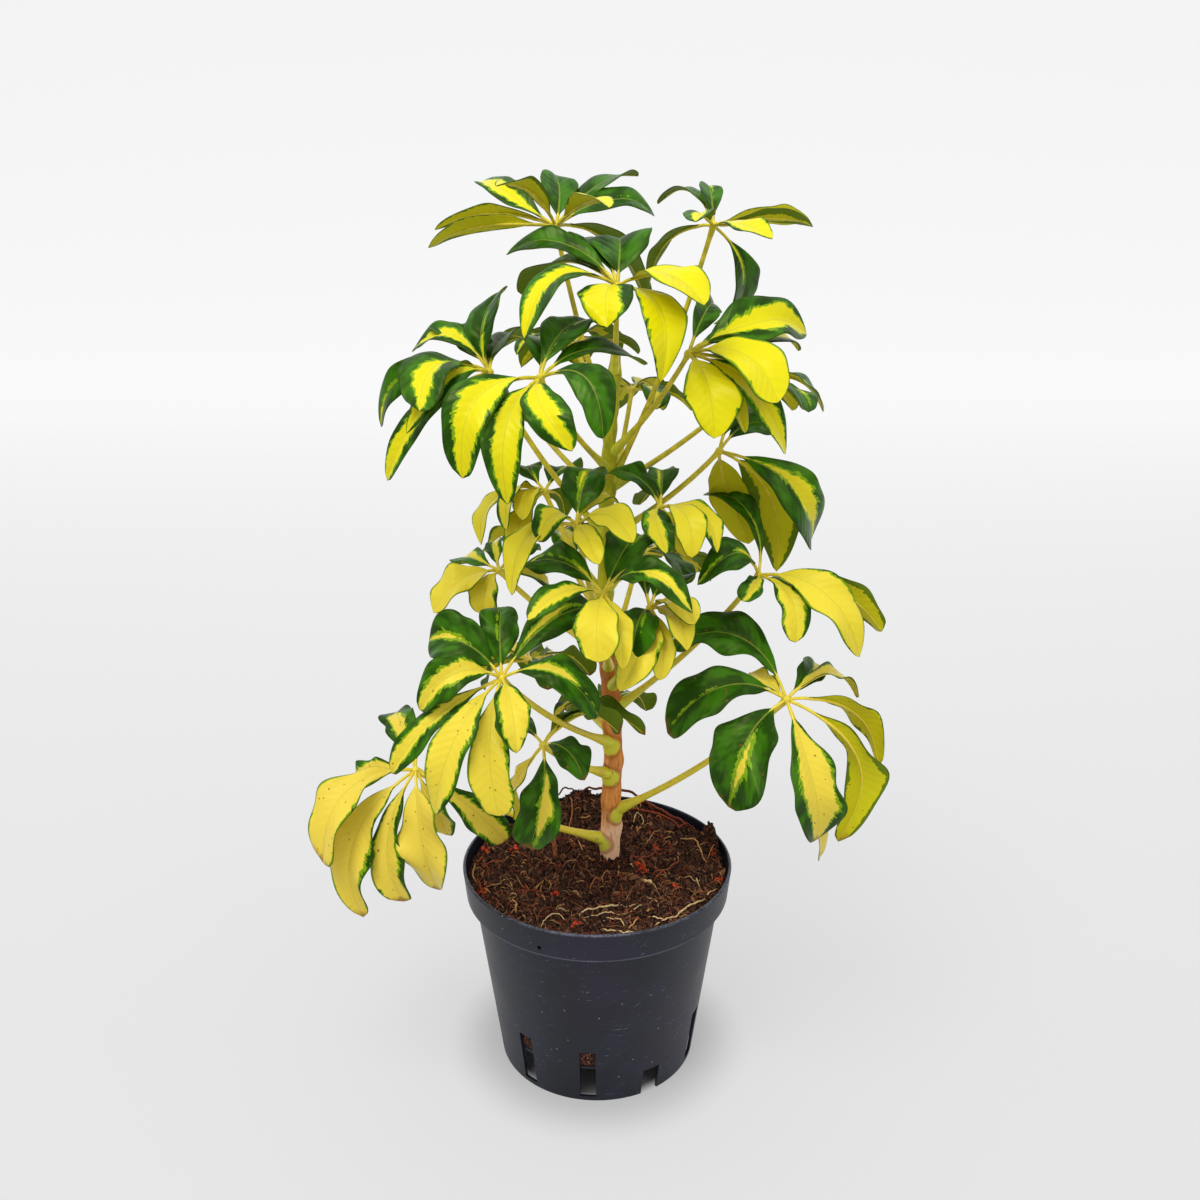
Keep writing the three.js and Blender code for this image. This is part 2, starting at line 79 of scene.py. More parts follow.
scene = bpy.context.scene


def at(point):
    """The place in the frame of [right, back, up] in millimetres from the pot's axis."""
    return AXIS + Vector(point) * MM


def colour(code):
    """The linear colour of a #rrggbb code, as the shaders take it."""
    shares = [int(code[i:i + 2], 16) / 255 for i in (1, 3, 5)]
    return tuple(s / 12.92 if s < 0.04045 else ((s + 0.055) / 1.055) ** 2.4 for s in shares) + (1.0,)


def place(name, data):
    """A new object in the scene, at the origin."""
    thing = bpy.data.objects.new(name, data)
    scene.collection.objects.link(thing)
    return thing


camera = place("camera", bpy.data.cameras.new("camera"))
camera.data.lens = FOCAL_LENGTH
camera.data.sensor_width = SENSOR_WIDTH
camera.location = at(CAMERA_PLACE)
camera.rotation_euler = (math.radians(90 - CAMERA_DOWN), 0, 0)
scene.camera = camera

sheet_line = [(SHEET_FRONT, 0), (SHEET_BEND, 0)]
for step in range(1, SHEET_BEND_STEPS + 1):
    turn = math.pi / 2 * step / SHEET_BEND_STEPS
    sheet_line.append((
        SHEET_BEND + SHEET_BEND_RADIUS * math.sin(turn),
        SHEET_BEND_RADIUS * (1 - math.cos(turn)),
    ))
sheet_line.append((SHEET_BEND + SHEET_BEND_RADIUS, SHEET_TOP))
sheet_points = [(x, y, z) for y, z in sheet_line for x in (-SHEET_HALF_WIDTH, SHEET_HALF_WIDTH)]
sheet_faces = [(2 * i, 2 * i + 1, 2 * i + 3, 2 * i + 2) for i in range(len(sheet_line) - 1)]
sheet_mesh = bpy.data.meshes.new("sheet")
sheet_mesh.from_pydata(sheet_points, [], sheet_faces)
sheet_mesh.shade_smooth()
sheet = place("sheet", sheet_mesh)
sheet_paper = bpy.data.materials.new("sheet_paper")
sheet_paper.use_nodes = True
sheet_shader = sheet_paper.node_tree.nodes["Principled BSDF"]
sheet_shader.inputs["Base Color"].default_value = colour(SHEET_COLOUR)
sheet_shader.inputs["Roughness"].default_value = 0.9
sheet_shader.inputs["Emission Color"].default_value = (1, 1, 1, 1)
sheet_mesh.materials.append(sheet_paper)


class Field:
    """What comes out of a node: a number, a vector or a colour that may differ from place to place.
    Sums and products of fields add Math nodes to their tree."""

    def __init__(self, socket):
        self.socket = socket
        self.tree = socket.id_data
        self.is_vector = socket.type in ("VECTOR", "RGBA")

    def __add__(self, other):
        return worked("ADD", self, other)

    def __sub__(self, other):
        return worked("SUBTRACT", self, other)

    def __rsub__(self, other):
        return worked("SUBTRACT", other, self)

    def __mul__(self, other):
        return worked("MULTIPLY", self, other)

    def __truediv__(self, other):
        return worked("DIVIDE", self, other)

    def __pow__(self, other):
        return worked("POWER", self, other)

    __radd__ = __add__
    __rmul__ = __mul__

    def part(self, axis):
        """The x, y or z of a vector."""
        return self.made("ShaderNodeSeparateXYZ", {0: self}, output=axis.upper())

    def made(self, kind, inputs=None, output=0, **settings):
        return make(self.tree, kind, inputs, output, **settings)

    def beside(self, output):
        """Another output of the same node."""
        return Field(self.socket.node.outputs[output])


def feed(socket, value):
    """Joins a field to a socket, or sets the socket to a plain value."""
    if isinstance(value, Field):
        socket.id_data.links.new(value.socket, socket)
    elif socket.type == "VECTOR" and isinstance(value, (int, float)):
        socket.default_value = (value, value, value)
    else:
        socket.default_value = value


def make(tree, kind, inputs=None, output=0, **settings):
    """A new node in the tree, as the field that comes out of it."""
    node = tree.nodes.new(kind)
    for name, value in settings.items():
        setattr(node, name, value)
    for name, value in (inputs or {}).items():
        feed(node.inputs[name], value)
    return Field(node.outputs[output])


def worked(operation, *terms):
    """A Math node, or a Vector Math node where a term is a vector."""
    tree = next(term.tree for term in terms if isinstance(term, Field))
    vector = any(term.is_vector if isinstance(term, Field) else isinstance(term, tuple) for term in terms)
    kind = "ShaderNodeVectorMath" if vector else "ShaderNodeMath"
    return make(tree, kind, dict(enumerate(terms)), operation=operation)


def ramp(value, low, high):
    """0 below low, 1 above high, and smooth between. Low may be the higher one."""
    limits = {"Value": value, "From Min": low, "From Max": high}
    return value.made("ShaderNodeMapRange", limits, interpolation_type="SMOOTHSTEP")


def between(share, first, second):
    """A number that goes from first to second with the share."""
    return share.made("ShaderNodeMix", {0: share, 2: first, 3: second})


def painted(share, first, second):
    """A colour that goes from first to second with the share."""
    first, second = (colour(c) if isinstance(c, str) else c for c in (first, second))
    return share.made("ShaderNodeMix", {0: share, 6: first, 7: second}, output=2, data_type="RGBA")


def size_of(vector):
    return vector.made("ShaderNodeVectorMath", {0: vector}, output="Value", operation="LENGTH")


scene.world = bpy.data.worlds.new("sky")
scene.world.use_nodes = True
sky_height = make(scene.world.node_tree, "ShaderNodeTexCoord", output="Generated").part("z")
sky = scene.world.node_tree.nodes["Background"]
sky.inputs["Color"].default_value = (1, 1, 1, 1)
feed(sky.inputs["Strength"], between(ramp(sky_height, *SKY_CHANGE), SKY_LEVEL, SKY_ABOVE))
# Painted light: the sheet glows, more towards the back. Under the pot the glow is gone and round its foot
# it is dimmed, which paints the pot's shadow on the sheet.
sheet_place = make(sheet_paper.node_tree, "ShaderNodeTexCoord", output="Object")
sheet_glow = between(sheet_place.part("y") / SHEET_GLOW_REACH, SHEET_GLOW["front"], SHEET_GLOW["back"])
from_pot = size_of(sheet_place - tuple(AXIS))
pot_shade = ramp(from_pot, *SHADE_UNDER) * between(ramp(from_pot, *SHADE_BESIDE), SHADE_LEFT, 1.0)
feed(sheet_shader.inputs["Emission Strength"], sheet_glow * pot_shade)
scene.view_settings.view_transform = "Standard"

for name, light in {"key_light": KEY_LIGHT, "fill_light": FILL_LIGHT}.items():
    lamp = place(name, bpy.data.lights.new(name, "AREA"))
    lamp.data.size = light["size"]
    lamp.data.energy = light["watts"]
    lamp.location = at(light["place"])
    lamp.rotation_euler = (at(LIGHT_AIM) - lamp.location).to_track_quat("-Z", "Y").to_euler()

# Pot
# A thin-walled nursery pot of black plastic, moulded in one piece: a tapered wall with drain slots round
# its foot, a stepped-out rim band with a pin hole in it, and a floor raised on the foot ring.
SHOULDER = 129
FOOT_RADIUS = 70.4
SHOULDER_RADIUS = 87.4
BAND_FOOT_RADIUS = 92.8
RIM_RADIUS = (POT_HIGH.x - POT_LOW.x) / 2 / MM
POT_HEIGHT = POT_HIGH.z / MM
WALL = 2
FLOOR_UNDER = 28
FLOOR_TOP = FLOOR_UNDER + WALL
LIP = 1
SLOT = {"count": 10, "first": -5, "width": 11, "bottom": 3.6, "top": 44}
NOTCH = {"places": (1, 6), "width": 13, "top": 21}
CELLS_IN_SLOT = 4
CELLS_BETWEEN = 12
WALL_HEIGHTS = [0, 3.6, 12, 21, FLOOR_UNDER, FLOOR_TOP, 44, 60, 80, 100, 118, SHOULDER]
EDGE_ROUNDING = 0.4
EDGE_ANGLE = 35
PIN_HOLE = {"from_front": -23.6, "up": 134.8, "radius": 1.5, "depth": 8}
PLASTIC = {
    "deep": "#0b0f1a", "worn": "#191d2e", "purple": "#20112a", "scratch": "#7d8194", "dust": "#b5b3ac",
}
# Heights of a pale broken line along the lip, and of a painted highlight along the foot of the rim band
LIP_LINE = (POT_HEIGHT - 1.6, POT_HEIGHT - 0.3)
BAND_HIGHLIGHT = {"above": (SHOULDER + 1.6, SHOULDER + 0.2), "below": (SHOULDER - 0.8, SHOULDER - 0.2)}


def scaled(vector, factor):
    return vector.made("ShaderNodeVectorMath", {0: vector, "Scale": factor}, operation="SCALE")


def vector_of(tree, x, y, z):
    return make(tree, "ShaderNodeCombineXYZ", {"X": x, "Y": y, "Z": z})


def noise(point, scale, detail=2.0, roughness=0.5):
    settings = {"Vector": point, "Scale": scale, "Detail": detail, "Roughness": roughness}
    return point.made("ShaderNodeTexNoise", settings)


def shader_group(name, inputs, output):
    """A new shader node group with these inputs. Returns it, their fields, and where its result goes."""
    group = bpy.data.node_groups.new(name, "ShaderNodeTree")
    for label, kind, value in inputs:
        socket = group.interface.new_socket(label, in_out="INPUT", socket_type=kind)
        if value is not None:
            socket.default_value = value
    group.interface.new_socket(output, in_out="OUTPUT", socket_type="NodeSocketFloat")
    entry = group.nodes.new("NodeGroupInput")
    fields = [Field(entry.outputs[label]) for label, _, _ in inputs]
    return group, fields, group.nodes.new("NodeGroupOutput").inputs[0]


def effect(group, **inputs):
    """A shader group placed in the tree of its Place input. An underscore stands for a space."""
    labels = {label.replace("_", " "): value for label, value in inputs.items()}
    return make(inputs["Place"].tree, "ShaderNodeGroup", labels, node_tree=group)


def new_material(name, roughness=0.5, specular=0.5):
    """A material with one Principled shader. Returns it, its shader and its object coordinates."""
    material = bpy.data.materials.new(name)
    material.use_nodes = True
    shader = material.node_tree.nodes["Principled BSDF"]
    shader.inputs["Roughness"].default_value = roughness
    shader.inputs["Specular IOR Level"].default_value = specular
    return material, shader, make(material.node_tree, "ShaderNodeTexCoord", output="Object")


def raised(shader, height, distance, strength=1.0):
    """Gives the shader a bump of the given depth in metres."""
    settings = {"Height": height, "Distance": distance, "Strength": strength}
    feed(shader.inputs["Normal"], height.made("ShaderNodeBump", settings))


# Specks: small round dots of differing size, such as dust on plastic or spots on an old leaf
specks, (spot_place, spot_scale, spot_share), spot_out = shader_group("specks", [
    ("Place", "NodeSocketVector", None),
    ("Per metre", "NodeSocketFloat", 200.0),
    ("Share", "NodeSocketFloat", 0.2),
], "Mask")
spot_cells = make(specks, "ShaderNodeTexVoronoi", {"Vector": spot_place, "Scale": spot_scale})
spot_chance = spot_cells.beside("Color").part("x")
spot_radius = ramp(spot_chance, 1 - spot_share, 1.0) * 0.34
feed(spot_out, ramp(spot_cells, spot_radius, spot_radius * 0.6))

# Streaks: noise drawn out along one direction, such as bark, root skin or fine scratches
streaks, (streak_place, streak_stretch, streak_scale), streak_out = shader_group("streaks", [
    ("Place", "NodeSocketVector", None),
    ("Stretch", "NodeSocketVector", (1.0, 1.0, 0.1)),
    ("Per metre", "NodeSocketFloat", 400.0),
], "Value")
feed(streak_out, noise(streak_place * streak_stretch, streak_scale, 4.0, 0.6))


def wall_radius(height):
    return FOOT_RADIUS + (SHOULDER_RADIUS - FOOT_RADIUS) * height / SHOULDER


def band_radius(height):
    rise = (height - SHOULDER) / (POT_HEIGHT - SHOULDER)
    return BAND_FOOT_RADIUS + (RIM_RADIUS - BAND_FOOT_RADIUS) * rise


def slot_of(place_in_row):
    """Width, bottom and top of the slot at that place. A notch is open below."""
    if place_in_row in NOTCH["places"]:
        return NOTCH["width"], -1, NOTCH["top"]
    return SLOT["width"], SLOT["bottom"], SLOT["top"]


def column_angles(height):
    """Angles from the front of the wall's columns, which follow both sides of every slot."""
    step = 360 / SLOT["count"]
    angles = []
    for place_in_row in range(SLOT["count"]):
        half = slot_half_angle(place_in_row, height)
        next_half = slot_half_angle((place_in_row + 1) % SLOT["count"], height)
        middle = SLOT["first"] + step * place_in_row
        for cell in range(CELLS_IN_SLOT):
            angles.append(middle - half + 2 * half * cell / CELLS_IN_SLOT)
        room = step - half - next_half
        for cell in range(CELLS_BETWEEN):
            angles.append(middle + half + room * cell / CELLS_BETWEEN)
    return [math.radians(angle) for angle in angles]


def slot_half_angle(place_in_row, height):
    width, _, top = slot_of(place_in_row)
    return math.degrees(math.asin(width / 2 / wall_radius(min(height, top))))


def pot_mesh():
    body = bmesh.new()

    def ring(radius, height):
        return [
            body.verts.new(at((radius * math.sin(angle), -radius * math.cos(angle), height)))
            for angle in column_angles(height)
        ]

    def skin(lower, upper, keep=lambda column: True):
        """Faces between two rings, outwards where the second is above the first on the outside."""
        for column in range(len(lower)):
            beside = (column + 1) % len(lower)
            if keep(column):
                body.faces.new((lower[column], lower[beside], upper[beside], upper[column]))

    def cap(rim, height, upwards):
        middle = body.verts.new(at((0, 0, height)))
        for column in range(len(rim)):
            beside = (column + 1) % len(rim)
            pair = (rim[column], rim[beside]) if upwards else (rim[beside], rim[column])
            body.faces.new((middle, *pair))

    per_slot = CELLS_IN_SLOT + CELLS_BETWEEN

    def cut(column, low, high):
        """True where the wall is open between two heights."""
        place_in_row, cell = divmod(column, per_slot)
        _, bottom, top = slot_of(place_in_row)
        return cell < CELLS_IN_SLOT and low >= bottom and high <= top

    outer = [ring(wall_radius(height), height) for height in WALL_HEIGHTS]
    inner = [ring(wall_radius(height) - WALL, height) for height in WALL_HEIGHTS]
    columns = len(outer[0])
    for row, (low, high) in enumerate(zip(WALL_HEIGHTS, WALL_HEIGHTS[1:])):
        skin(outer[row], outer[row + 1], lambda column: not cut(column, low, high))
        if (low, high) == (FLOOR_UNDER, FLOOR_TOP):
            skin(inner[row], inner[row + 1], lambda column: cut(column, low, high))
        else:
            skin(inner[row + 1], inner[row], lambda column: not cut(column, low, high))
        for column in range(columns):
            before = (column - 1) % columns
            edge = (
                outer[row][column], inner[row][column],
                inner[row + 1][column], outer[row + 1][column],
            )
            if cut(column, low, high) and not cut(before, low, high):
                body.faces.new(edge)
            if cut(before, low, high) and not cut(column, low, high):
                body.faces.new(edge[::-1])
            beside = (column + 1) % columns
            below = WALL_HEIGHTS[row - 1] if row else -1
            above = WALL_HEIGHTS[row + 2] if row + 2 < len(WALL_HEIGHTS) else high + 1
            if cut(column, low, high) and row and not cut(column, below, low):
                body.faces.new((
                    outer[row][column], outer[row][beside],
                    inner[row][beside], inner[row][column],
                ))
            if cut(column, low, high) and not cut(column, high, above):
                body.faces.new((
                    inner[row + 1][column], inner[row + 1][beside],
                    outer[row + 1][beside], outer[row + 1][column],
                ))
    skin(inner[0], outer[0], lambda column: not cut(column, 0, SLOT["bottom"]))
    cap(inner[WALL_HEIGHTS.index(FLOOR_UNDER)], FLOOR_UNDER, False)
    cap(inner[WALL_HEIGHTS.index(FLOOR_TOP)], FLOOR_TOP, True)

    step_top = SHOULDER + WALL
    rings = [
        outer[-1],
        ring(BAND_FOOT_RADIUS, SHOULDER),
        ring(band_radius(POT_HEIGHT - LIP), POT_HEIGHT - LIP),
        ring(RIM_RADIUS - LIP, POT_HEIGHT),
        ring(RIM_RADIUS - WALL, POT_HEIGHT),
        ring(band_radius(step_top) - WALL, step_top),
        ring(SHOULDER_RADIUS - WALL, step_top),
        inner[-1],
    ]
    for lower, upper in zip(rings, rings[1:]):
        skin(lower, upper)
    mesh = bpy.data.meshes.new("nursery_pot")
    body.to_mesh(mesh)
    body.free()
    mesh.shade_smooth()
    return mesh


def plain(thing, name):
    """The object's mesh with its modifiers worked in, under a new name. The modifiers are removed."""
    graph = bpy.context.evaluated_depsgraph_get()
    mesh = bpy.data.meshes.new_from_object(
        thing.evaluated_get(graph), preserve_all_data_layers=True, depsgraph=graph,
    )
    mesh.name = name
    thing.modifiers.clear()
    thing.data = mesh
    return thing


plastic, plastic_shader, plastic_place = new_material("black_plastic", 0.42, 0.32)
plastic_height = plastic_place.part("z")
wear = noise(plastic_place, 30, 5, 0.6)
fine_wear = noise(plastic_place, 700, 3, 0.6)
plastic_colour = painted(ramp(wear, 0.35, 0.75), PLASTIC["deep"], PLASTIC["worn"])
purple_share = ramp(noise(plastic_place + (3.1, 0.4, 0.2), 9, 1), 0.5, 0.75) * 0.6
plastic_colour = painted(purple_share, plastic_colour, PLASTIC["purple"])
across_scratches = effect(streaks, Place=plastic_place, Stretch=(1.0, 1.0, 16.0), Per_metre=60.0)
slant_place = plastic_place.made(
    "ShaderNodeVectorRotate", {"Vector": plastic_place, "Angle": 0.6}, rotation_type="Y_AXIS",
)
slant_scratches = effect(streaks, Place=slant_place, Stretch=(1.2, 1.2, 20.0), Per_metre=45.0)
scratch_share = ramp(across_scratches, 0.64, 0.69) + ramp(slant_scratches, 0.65, 0.70)
scratch_share = scratch_share * ramp(fine_wear, 0.45, 0.6) * ramp(wear, 0.4, 0.6)
plastic_colour = painted(scratch_share * 0.8, plastic_colour, PLASTIC["scratch"])
dust_share = effect(specks, Place=plastic_place, Per_metre=520.0, Share=0.022)
plastic_colour = painted(dust_share * 0.6, plastic_colour, PLASTIC["dust"])
fine_dust = effect(specks, Place=plastic_place, Per_metre=1200.0, Share=0.1) * ramp(wear, 0.4, 0.6)
plastic_colour = painted(fine_dust * 0.22, plastic_colour, PLASTIC["dust"])
# A pale broken line along the top of the lip, and a thin painted highlight along the foot of the rim band,
# both in the scratch colour
lip_share = ramp(plastic_height, LIP_LINE[0] * MM, LIP_LINE[1] * MM) * ramp(fine_wear, 0.3, 0.7)
band_highlight = ramp(plastic_height, BAND_HIGHLIGHT["above"][0] * MM, BAND_HIGHLIGHT["above"][1] * MM)
band_highlight = band_highlight * ramp(plastic_height, BAND_HIGHLIGHT["below"][0] * MM, BAND_HIGHLIGHT["below"][1] * MM)
lip_line_and_band_highlight = (lip_share * 0.6 + band_highlight * 0.3) * ramp(wear, 0.3, 0.6)
plastic_colour = painted(lip_line_and_band_highlight, plastic_colour, PLASTIC["scratch"])
feed(plastic_shader.inputs["Base Color"], plastic_colour)
feed(plastic_shader.inputs["Roughness"], between(wear, 0.3, 0.55) + scratch_share * 0.15)
raised(plastic_shader, fine_wear * 0.3 + wear, 0.0004, 0.35)

pot = place("nursery_pot", pot_mesh())
pin_mesh = bpy.data.meshes.new("pin")
pin = bmesh.new()
bmesh.ops.create_cone(
    pin, cap_ends=True, segments=20, depth=PIN_HOLE["depth"] * MM,
    radius1=PIN_HOLE["radius"] * MM, radius2=PIN_HOLE["radius"] * MM,
)
pin.to_mesh(pin_mesh)
pin.free()
pin = place("pin", pin_mesh)
pin_turn = math.radians(PIN_HOLE["from_front"])
pin_reach = band_radius(PIN_HOLE["up"])
pin.location = at((pin_reach * math.sin(pin_turn), -pin_reach * math.cos(pin_turn), PIN_HOLE["up"]))
pin.rotation_euler = (math.pi / 2, 0, pin_turn)
hole = pot.modifiers.new("hole", "BOOLEAN")
hole.object = pin
hole.solver = "EXACT"
rounding = pot.modifiers.new("rounding", "BEVEL")
rounding.width = EDGE_ROUNDING * MM
rounding.segments = 2
rounding.limit_method = "ANGLE"
rounding.angle_limit = math.radians(EDGE_ANGLE)
rounding.harden_normals = True
plain(pot, "nursery_pot")
bpy.data.objects.remove(pin)
pot.data.materials.clear()
pot.data.materials.append(plastic)
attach(pot, "root")
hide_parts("pot")

# Peat
# A root ball of dark peat fills the pot above its raised floor. Its top is loose and rough, low at the
# front and heaped at the back, with a crumbly peak at the right.
PEAT_TOP = 141
PEAT_SLOPE = 0.045
PEAT_GAP = 0.4
PEAT_HEAPS = [
    {"x": 20, "y": 74, "height": 5, "reach": 30},
    {"x": -14, "y": 84, "height": 10, "reach": 20},
    {"x": 84, "y": 31, "height": 17, "reach": 8},
    {"x": 9, "y": 0, "height": 12, "reach": 24},
]
PEAT_LUMP = 1.3
PEAT_SECTORS = 240
PEAT_RINGS = 78
PEAT_EDGE_DIP = 1.5
PEAT_EDGE_RINGS = 5
PEAT_SIDE = {"from": 32, "step": 3, "top": 136}
PEAT_ROUGHNESS = {"Ground": 133 * MM, "Lump_height": 6 * MM, "Grain_height": 8 * MM}
PEAT_COLOURS = {"dark": "#0b0605", "brown": "#593729", "warm": "#a06c52", "chip": "#a5744f"}


def peat_height(x, y):
    """Height of the peat's top before its fine roughness, from the pot's axis, in millimetres."""
    height = PEAT_TOP + PEAT_SLOPE * y
    height += PEAT_LUMP * math.sin(0.13 * x + 2) * math.cos(0.17 * y + 0.09 * x)
    for heap in PEAT_HEAPS:
        away = math.hypot(x - heap["x"], y - heap["y"]) / heap["reach"]
        height += heap["height"] * math.exp(-away * away)
    return height


def peat_mesh():
    edge = band_radius(PEAT_TOP) - WALL - PEAT_GAP
    outline = [(wall_radius(FLOOR_TOP) - WALL - PEAT_GAP, FLOOR_TOP + PEAT_GAP)]
    for height in range(PEAT_SIDE["from"], SHOULDER, PEAT_SIDE["step"]):
        outline.append((wall_radius(height) - WALL - PEAT_GAP, height))
    step = SHOULDER + WALL + PEAT_GAP
    outline += [(SHOULDER_RADIUS - WALL - PEAT_GAP, step), (band_radius(step) - WALL - PEAT_GAP, step)]
    outline += [(band_radius(PEAT_SIDE["top"]) - WALL - PEAT_GAP, PEAT_SIDE["top"])]
    points = []
    for radius, height in outline:
        for sector in range(PEAT_SECTORS):
            turn = 2 * math.pi * sector / PEAT_SECTORS
            points.append(at((radius * math.cos(turn), radius * math.sin(turn), height)))
    for ring in range(PEAT_RINGS):
        radius = edge * (1 - ring / PEAT_RINGS)
        dip = PEAT_EDGE_DIP * max(0, 1 - ring / PEAT_EDGE_RINGS) ** 2
        for sector in range(PEAT_SECTORS):
            turn = 2 * math.pi * sector / PEAT_SECTORS
            x, y = radius * math.cos(turn), radius * math.sin(turn)
            points.append(at((x, y, peat_height(x, y) - dip)))
    rings = len(outline) + PEAT_RINGS
    faces = []
    for ring in range(rings - 1):
        for sector in range(PEAT_SECTORS):
            here = ring * PEAT_SECTORS + sector
            beside = ring * PEAT_SECTORS + (sector + 1) % PEAT_SECTORS
            faces.append((here, beside, beside + PEAT_SECTORS, here + PEAT_SECTORS))
    under, over = len(points), len(points) + 1
    points += [at((0, 0, FLOOR_TOP + PEAT_GAP)), at((0, 0, peat_height(0, 0)))]
    last = (rings - 1) * PEAT_SECTORS
    for sector in range(PEAT_SECTORS):
        beside = (sector + 1) % PEAT_SECTORS
        faces += [(under, beside, sector), (over, last + sector, last + beside)]
    mesh = bpy.data.meshes.new("peat")
    mesh.from_pydata(points, [], faces)
    mesh.shade_smooth()
    return mesh


def geometry_tree(name, inputs):
    """A new Geometry Nodes tree that takes a geometry and these inputs. Returns it and their fields."""
    tree = bpy.data.node_groups.new(name, "GeometryNodeTree")
    tree.interface.new_socket("Geometry", in_out="INPUT", socket_type="NodeSocketGeometry")
    for label, kind in inputs.items():
        tree.interface.new_socket(label, in_out="INPUT", socket_type="NodeSocket" + kind)
    tree.interface.new_socket("Geometry", in_out="OUTPUT", socket_type="NodeSocketGeometry")
    entry = tree.nodes.new("NodeGroupInput")
    return tree, {label: Field(entry.outputs[label]) for label in ["Geometry", *inputs]}


def ends(tree, geometry, material=None):
    """The tree's last steps: its instances become real, and it takes its material."""
    geometry = make(tree, "GeometryNodeRealizeInstances", {"Geometry": geometry})
    if material is not None:
        geometry = make(tree, "GeometryNodeSetMaterial", {"Geometry": geometry, "Material": material})
    feed(tree.nodes.new("NodeGroupOutput").inputs[0], geometry)


def grown(name, mesh, tree, **values):
    """A piece made from a mesh by a Geometry Nodes tree with these inputs, as a plain mesh."""
    piece = place(name, mesh)
    modifier = piece.modifiers.new("shape", "NODES")
    modifier.node_group = tree
    for socket in tree.interface.items_tree:
        if socket.in_out == "INPUT" and socket.name.replace(" ", "_") in values:
            modifier[socket.identifier] = values[socket.name.replace(" ", "_")]
    return plain(piece, name)


def on_root(piece, slot, *nodes):
    """The piece stands on the object's one body, for those of its nodes that are named."""
    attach(piece, "root")
    if nodes:
        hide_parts(*nodes)
    return piece


def position(tree):
    return make(tree, "GeometryNodeInputPosition")


def moved(geometry, **how):
    """The geometry with its points at a new Position or moved by an Offset."""
    return geometry.made("GeometryNodeSetPosition", {"Geometry": geometry, **how})


def kept_value(material, name, output="Fac"):
    """A value that a piece keeps at its points, for its material."""
    return make(material.node_tree, "ShaderNodeAttribute", output=output, attribute_name=name)


peat_look, peat_shader, peat_place = new_material("peat", 0.95, 0.2)
peat_patches = noise(peat_place, 90, 4, 0.65)
peat_grain = noise(peat_place, 650, 4, 0.7)
peat_colour = painted(ramp(peat_grain, 0.42, 0.6), PEAT_COLOURS["dark"], PEAT_COLOURS["brown"])
warm_share = ramp(peat_patches, 0.52, 0.68) * ramp(peat_grain, 0.5, 0.62)
peat_colour = painted(warm_share, peat_colour, PEAT_COLOURS["warm"])
peat_tone = kept_value(peat_look, "tone")
peat_colour = painted(ramp(peat_tone, 0.5, 1.0) * 0.5, peat_colour, PEAT_COLOURS["warm"])
peat_colour = painted(ramp(peat_tone, 0.97, 1.0) * 0.6, peat_colour, PEAT_COLOURS["chip"])
dark_share = ramp(peat_tone, 0.3, 0.1) * ramp(peat_tone, 0.0, 0.01) * 0.7
peat_colour = painted(dark_share, peat_colour, PEAT_COLOURS["dark"])
feed(peat_shader.inputs["Base Color"], peat_colour)
raised(peat_shader, peat_grain + noise(peat_place, 1800, 2) * 0.4, 0.0012, 0.8)

peat_tree, peat_in = geometry_tree("rough_peat", {
    "Ground": "Float", "Lump height": "Float", "Grain height": "Float", "Material": "Material",
})
peat_point = position(peat_tree)
on_top = ramp(peat_point.part("z"), peat_in["Ground"], peat_in["Ground"] + 4 * MM)
lumps = (noise(peat_point, 70, 2) - 0.5) * peat_in["Lump height"]
grains = (noise(peat_point + (5, 5, 5), 190, 3, 0.7) - 0.5) * peat_in["Grain height"]
ends(peat_tree, moved(peat_in["Geometry"], Offset=vector_of(peat_tree, 0, 0, (lumps + grains) * on_top)),
     peat_in["Material"])
peat = grown("peat_ball", peat_mesh(), peat_tree, Material=peat_look, **PEAT_ROUGHNESS)
on_root(peat, "peat", "soil")

# Crumbs and perlite
# Loose crumbs of peat lie all over its top, and more of them in clumps on its heaps. Among them are a few
# white grains of perlite and clumps of small brick-red bark flakes.
CRUMBS = {
    "Density": 130000.0, "Smallest": 0.4 * MM, "Largest": 2.3 * MM, "Segments": 5, "Rings": 3, "Seed": 3,
}
LARGE_CRUMBS = {
    "Density": 19000.0, "Smallest": 1.0 * MM, "Largest": 3.6 * MM, "Segments": 7, "Rings": 4, "Seed": 8,
}
CRUMB_CLUMPS = [
    [84, 30], [86, 26], [80, 34], [85, 21], [-16, 84], [-23, 82], [-8, 85], [2, 85],
    [0, -8], [6, -10], [13, -9], [18, -5], [19, 4], [-1, 4], [9, 10],
]
CLUMP = {"Count": 20, "Spread": 4.6 * MM, "Size": 3.6 * MM, "Seed": 33}
PEAT_REACH = 88.5 * MM
STREWN_ABOVE = 130 * MM
STREWN_FACING = 0.3
LUMP_DENTS = 1.7
DROP_FROM = 0.3
DROP_REACH = 0.25
PERLITE = {
    "Density": 900.0, "Smallest": 0.4 * MM, "Largest": 0.9 * MM, "Segments": 7, "Rings": 4, "Seed": 21,
}
FLAKE_CLUMPS = [
    [-61, 22], [-82, 21], [-28, -31], [-14, -65], [30, -5], [33, -8], [54, -22], [44, 25], [86, 18],
    [-80, -26], [86, -14],
]
FLAKES = {"Count": 14, "Spread": 3.4 * MM, "Size": 2.4 * MM, "Seed": 5}
RED_FLAKES = {"dark": "#a02c12", "bright": "#e2582a"}


